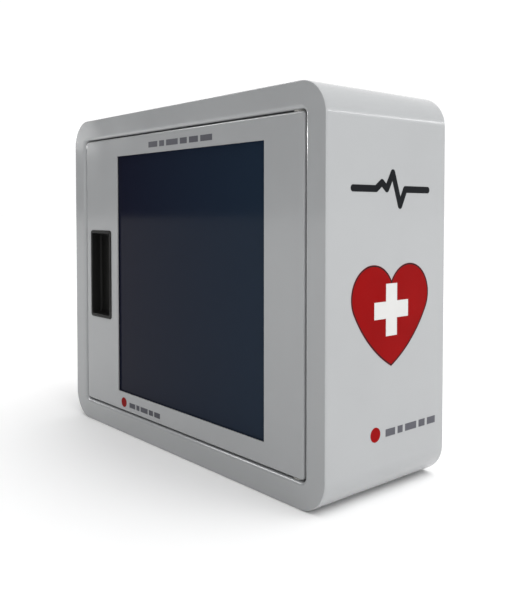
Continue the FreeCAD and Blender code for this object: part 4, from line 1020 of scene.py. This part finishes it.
def make_shelf():
    """Folded channel with turned-in feet, and a mat ribbed along its length."""
    low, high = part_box("device_shelf")
    foot, outer, inner = 14 * MM, 3 * MM, 1.5 * MM
    outline = rounded([
        (low.y + foot, low.z, 0), (low.y, low.z, outer), (low.y, high.z, outer), (high.y, high.z, outer),
        (high.y, low.z, outer), (high.y - foot, low.z, 0), (high.y - foot, low.z + SHEET, 0),
        (high.y - SHEET, low.z + SHEET, inner), (high.y - SHEET, high.z - SHEET, inner),
        (low.y + SHEET, high.z - SHEET, inner), (low.y + SHEET, low.z + SHEET, inner),
        (low.y + foot, low.z + SHEET, 0)])
    add("platform", extruded(outline, "X", low.x, high.x, 0.3 * MM), PAINT, "cabinet", "device_shelf")
    low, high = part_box("shelf_mat")
    pitch, rise, ease = 4 * MM, 0.9 * MM, 0.2 * MM
    rib = [(0, rise), (0.6 * MM, rise), (1 * MM, ease), (1.3 * MM, 0), (2.7 * MM, 0), (3 * MM, ease),
           (3.4 * MM, rise)]  # across one rib: distance along, depth below its top
    section = [(low.y, low.z)]
    for k in range(int((high.y - low.y) / pitch)):
        section += [(low.y + k * pitch + along, high.z - below) for along, below in rib]
    section += [(high.y, high.z - rise), (high.y, low.z)]
    add("ribbed_mat", extruded(section, "X", low.x, high.x), RUBBER, "cabinet", "shelf_mat")


for build in (make_cabinet_wrap, make_front_frame, make_back_panel, make_stops_and_seal, make_door_panel,
              make_window, make_studs_and_nuts, make_recessed_pull, make_heart_lines, make_hinge_bushes,
              make_hinge_pins, make_hinge_brackets, make_clamp, make_door_tabs, make_left_stop, make_catch,
              make_door_switch, make_alarm_case, make_siren, make_circuit_board, make_battery,
              make_alarm_switch, make_shelf):
    build()

# ---------------- what stays as it is in CAD

for entry in frame["record"]["subparts"]:
    node = frame["nodes"][entry["node"]]
    node.data.materials.clear()
    node.data.materials.append(FINISH[entry["material_slot"]])

# ---------------- studio

floor_mesh = bmesh.new()
bmesh.ops.create_grid(floor_mesh, x_segments=1, y_segments=1, size=30)
bmesh.ops.translate(floor_mesh, verts=floor_mesh.verts, vec=(0, 0, cad_bounds[0].z - 0.0002))
FLOOR = material("studio_floor", (0.93, 0.93, 0.93), 0.7, mottle=0.005, mottle_scale=2.0, specular=0.1)
floor = to_object("floor", floor_mesh, FLOOR)

world = bpy.data.worlds.new("studio")
bpy.context.scene.world = world
world.use_nodes = True
sky, wires = world.node_tree.nodes, world.node_tree.links
bearing = sky.new("ShaderNodeTexCoord")
towards = sky.new("ShaderNodeVectorMath")
towards.operation = "DOT_PRODUCT"
towards.inputs[1].default_value = Vector((0.38, 0.87, 0.32)).normalized()
brightness = map_range(sky, -0.72, 0.06, 0.06, 1.05)
brightness.interpolation_type = "SMOOTHSTEP"
wires.new(bearing.outputs["Generated"], towards.inputs[0])
wires.new(towards.outputs["Value"], brightness.inputs["Value"])
backdrop = sky.new("ShaderNodeMath")  # plain white where the camera sees past the object
backdrop.operation = "MAXIMUM"
wires.new(brightness.outputs["Result"], backdrop.inputs[0])
wires.new(sky.new("ShaderNodeLightPath").outputs["Is Camera Ray"], backdrop.inputs[1])
wires.new(backdrop.outputs["Value"], sky["Background"].inputs["Strength"])
sky["Background"].inputs["Color"].default_value = (1, 1, 1, 1)
bpy.context.scene.view_settings.view_transform = "Standard"


def area_light(name, place, target, size, power, glossy_only=False):
    data = bpy.data.lights.new(name, "AREA")
    data.shape = "RECTANGLE"
    data.size, data.size_y = size
    data.energy = power
    light = linked(name, data)
    light.location = place
    light.rotation_euler = (Vector(target) - Vector(place)).to_track_quat("-Z", "Y").to_euler()
    light.visible_camera = False
    light.visible_diffuse = not glossy_only


sun_data = bpy.data.lights.new("sun", "SUN")
sun_data.energy, sun_data.angle = 1.3, math.radians(50)
sun = linked("sun", sun_data)
sun.rotation_euler = Vector((0.40, 0.05, 0.91)).to_track_quat("Z", "Y").to_euler()

area_light("strip_behind_right", (1.3, 1.6, 0.68), (0.2, -0.08, 0.1), (1.5, 0.08), 2.8, glossy_only=True)
area_light("softbox_left", (-1.5, -0.9, 1.3), (0, -0.16, 0), (0.8, 0.3), 8, glossy_only=True)
area_light("strip_left", (-1.2, -0.42, 0.27), (0.18, -0.16, 0.12), (0.3, 0.06), 1.7, glossy_only=True)
area_light("fill_right", (2.0, -0.5, 0.1), (0.2, -0.1, 0), (0.8, 0.5), 3)

# ---------------- camera

TILT_DOWN, AZIMUTH = 2, 49.38  # degrees
camera_data = bpy.data.cameras.new("camera")
camera = linked("camera", camera_data)
camera_data.sensor_width = 36
camera_data.lens = 44.41
camera_data.shift_y = -0.104
camera.rotation_euler = (math.radians(90 - TILT_DOWN), 0, math.radians(AZIMUTH))
camera.location = (0.6296, -0.5882, 0.0712)
bpy.context.scene.camera = camera
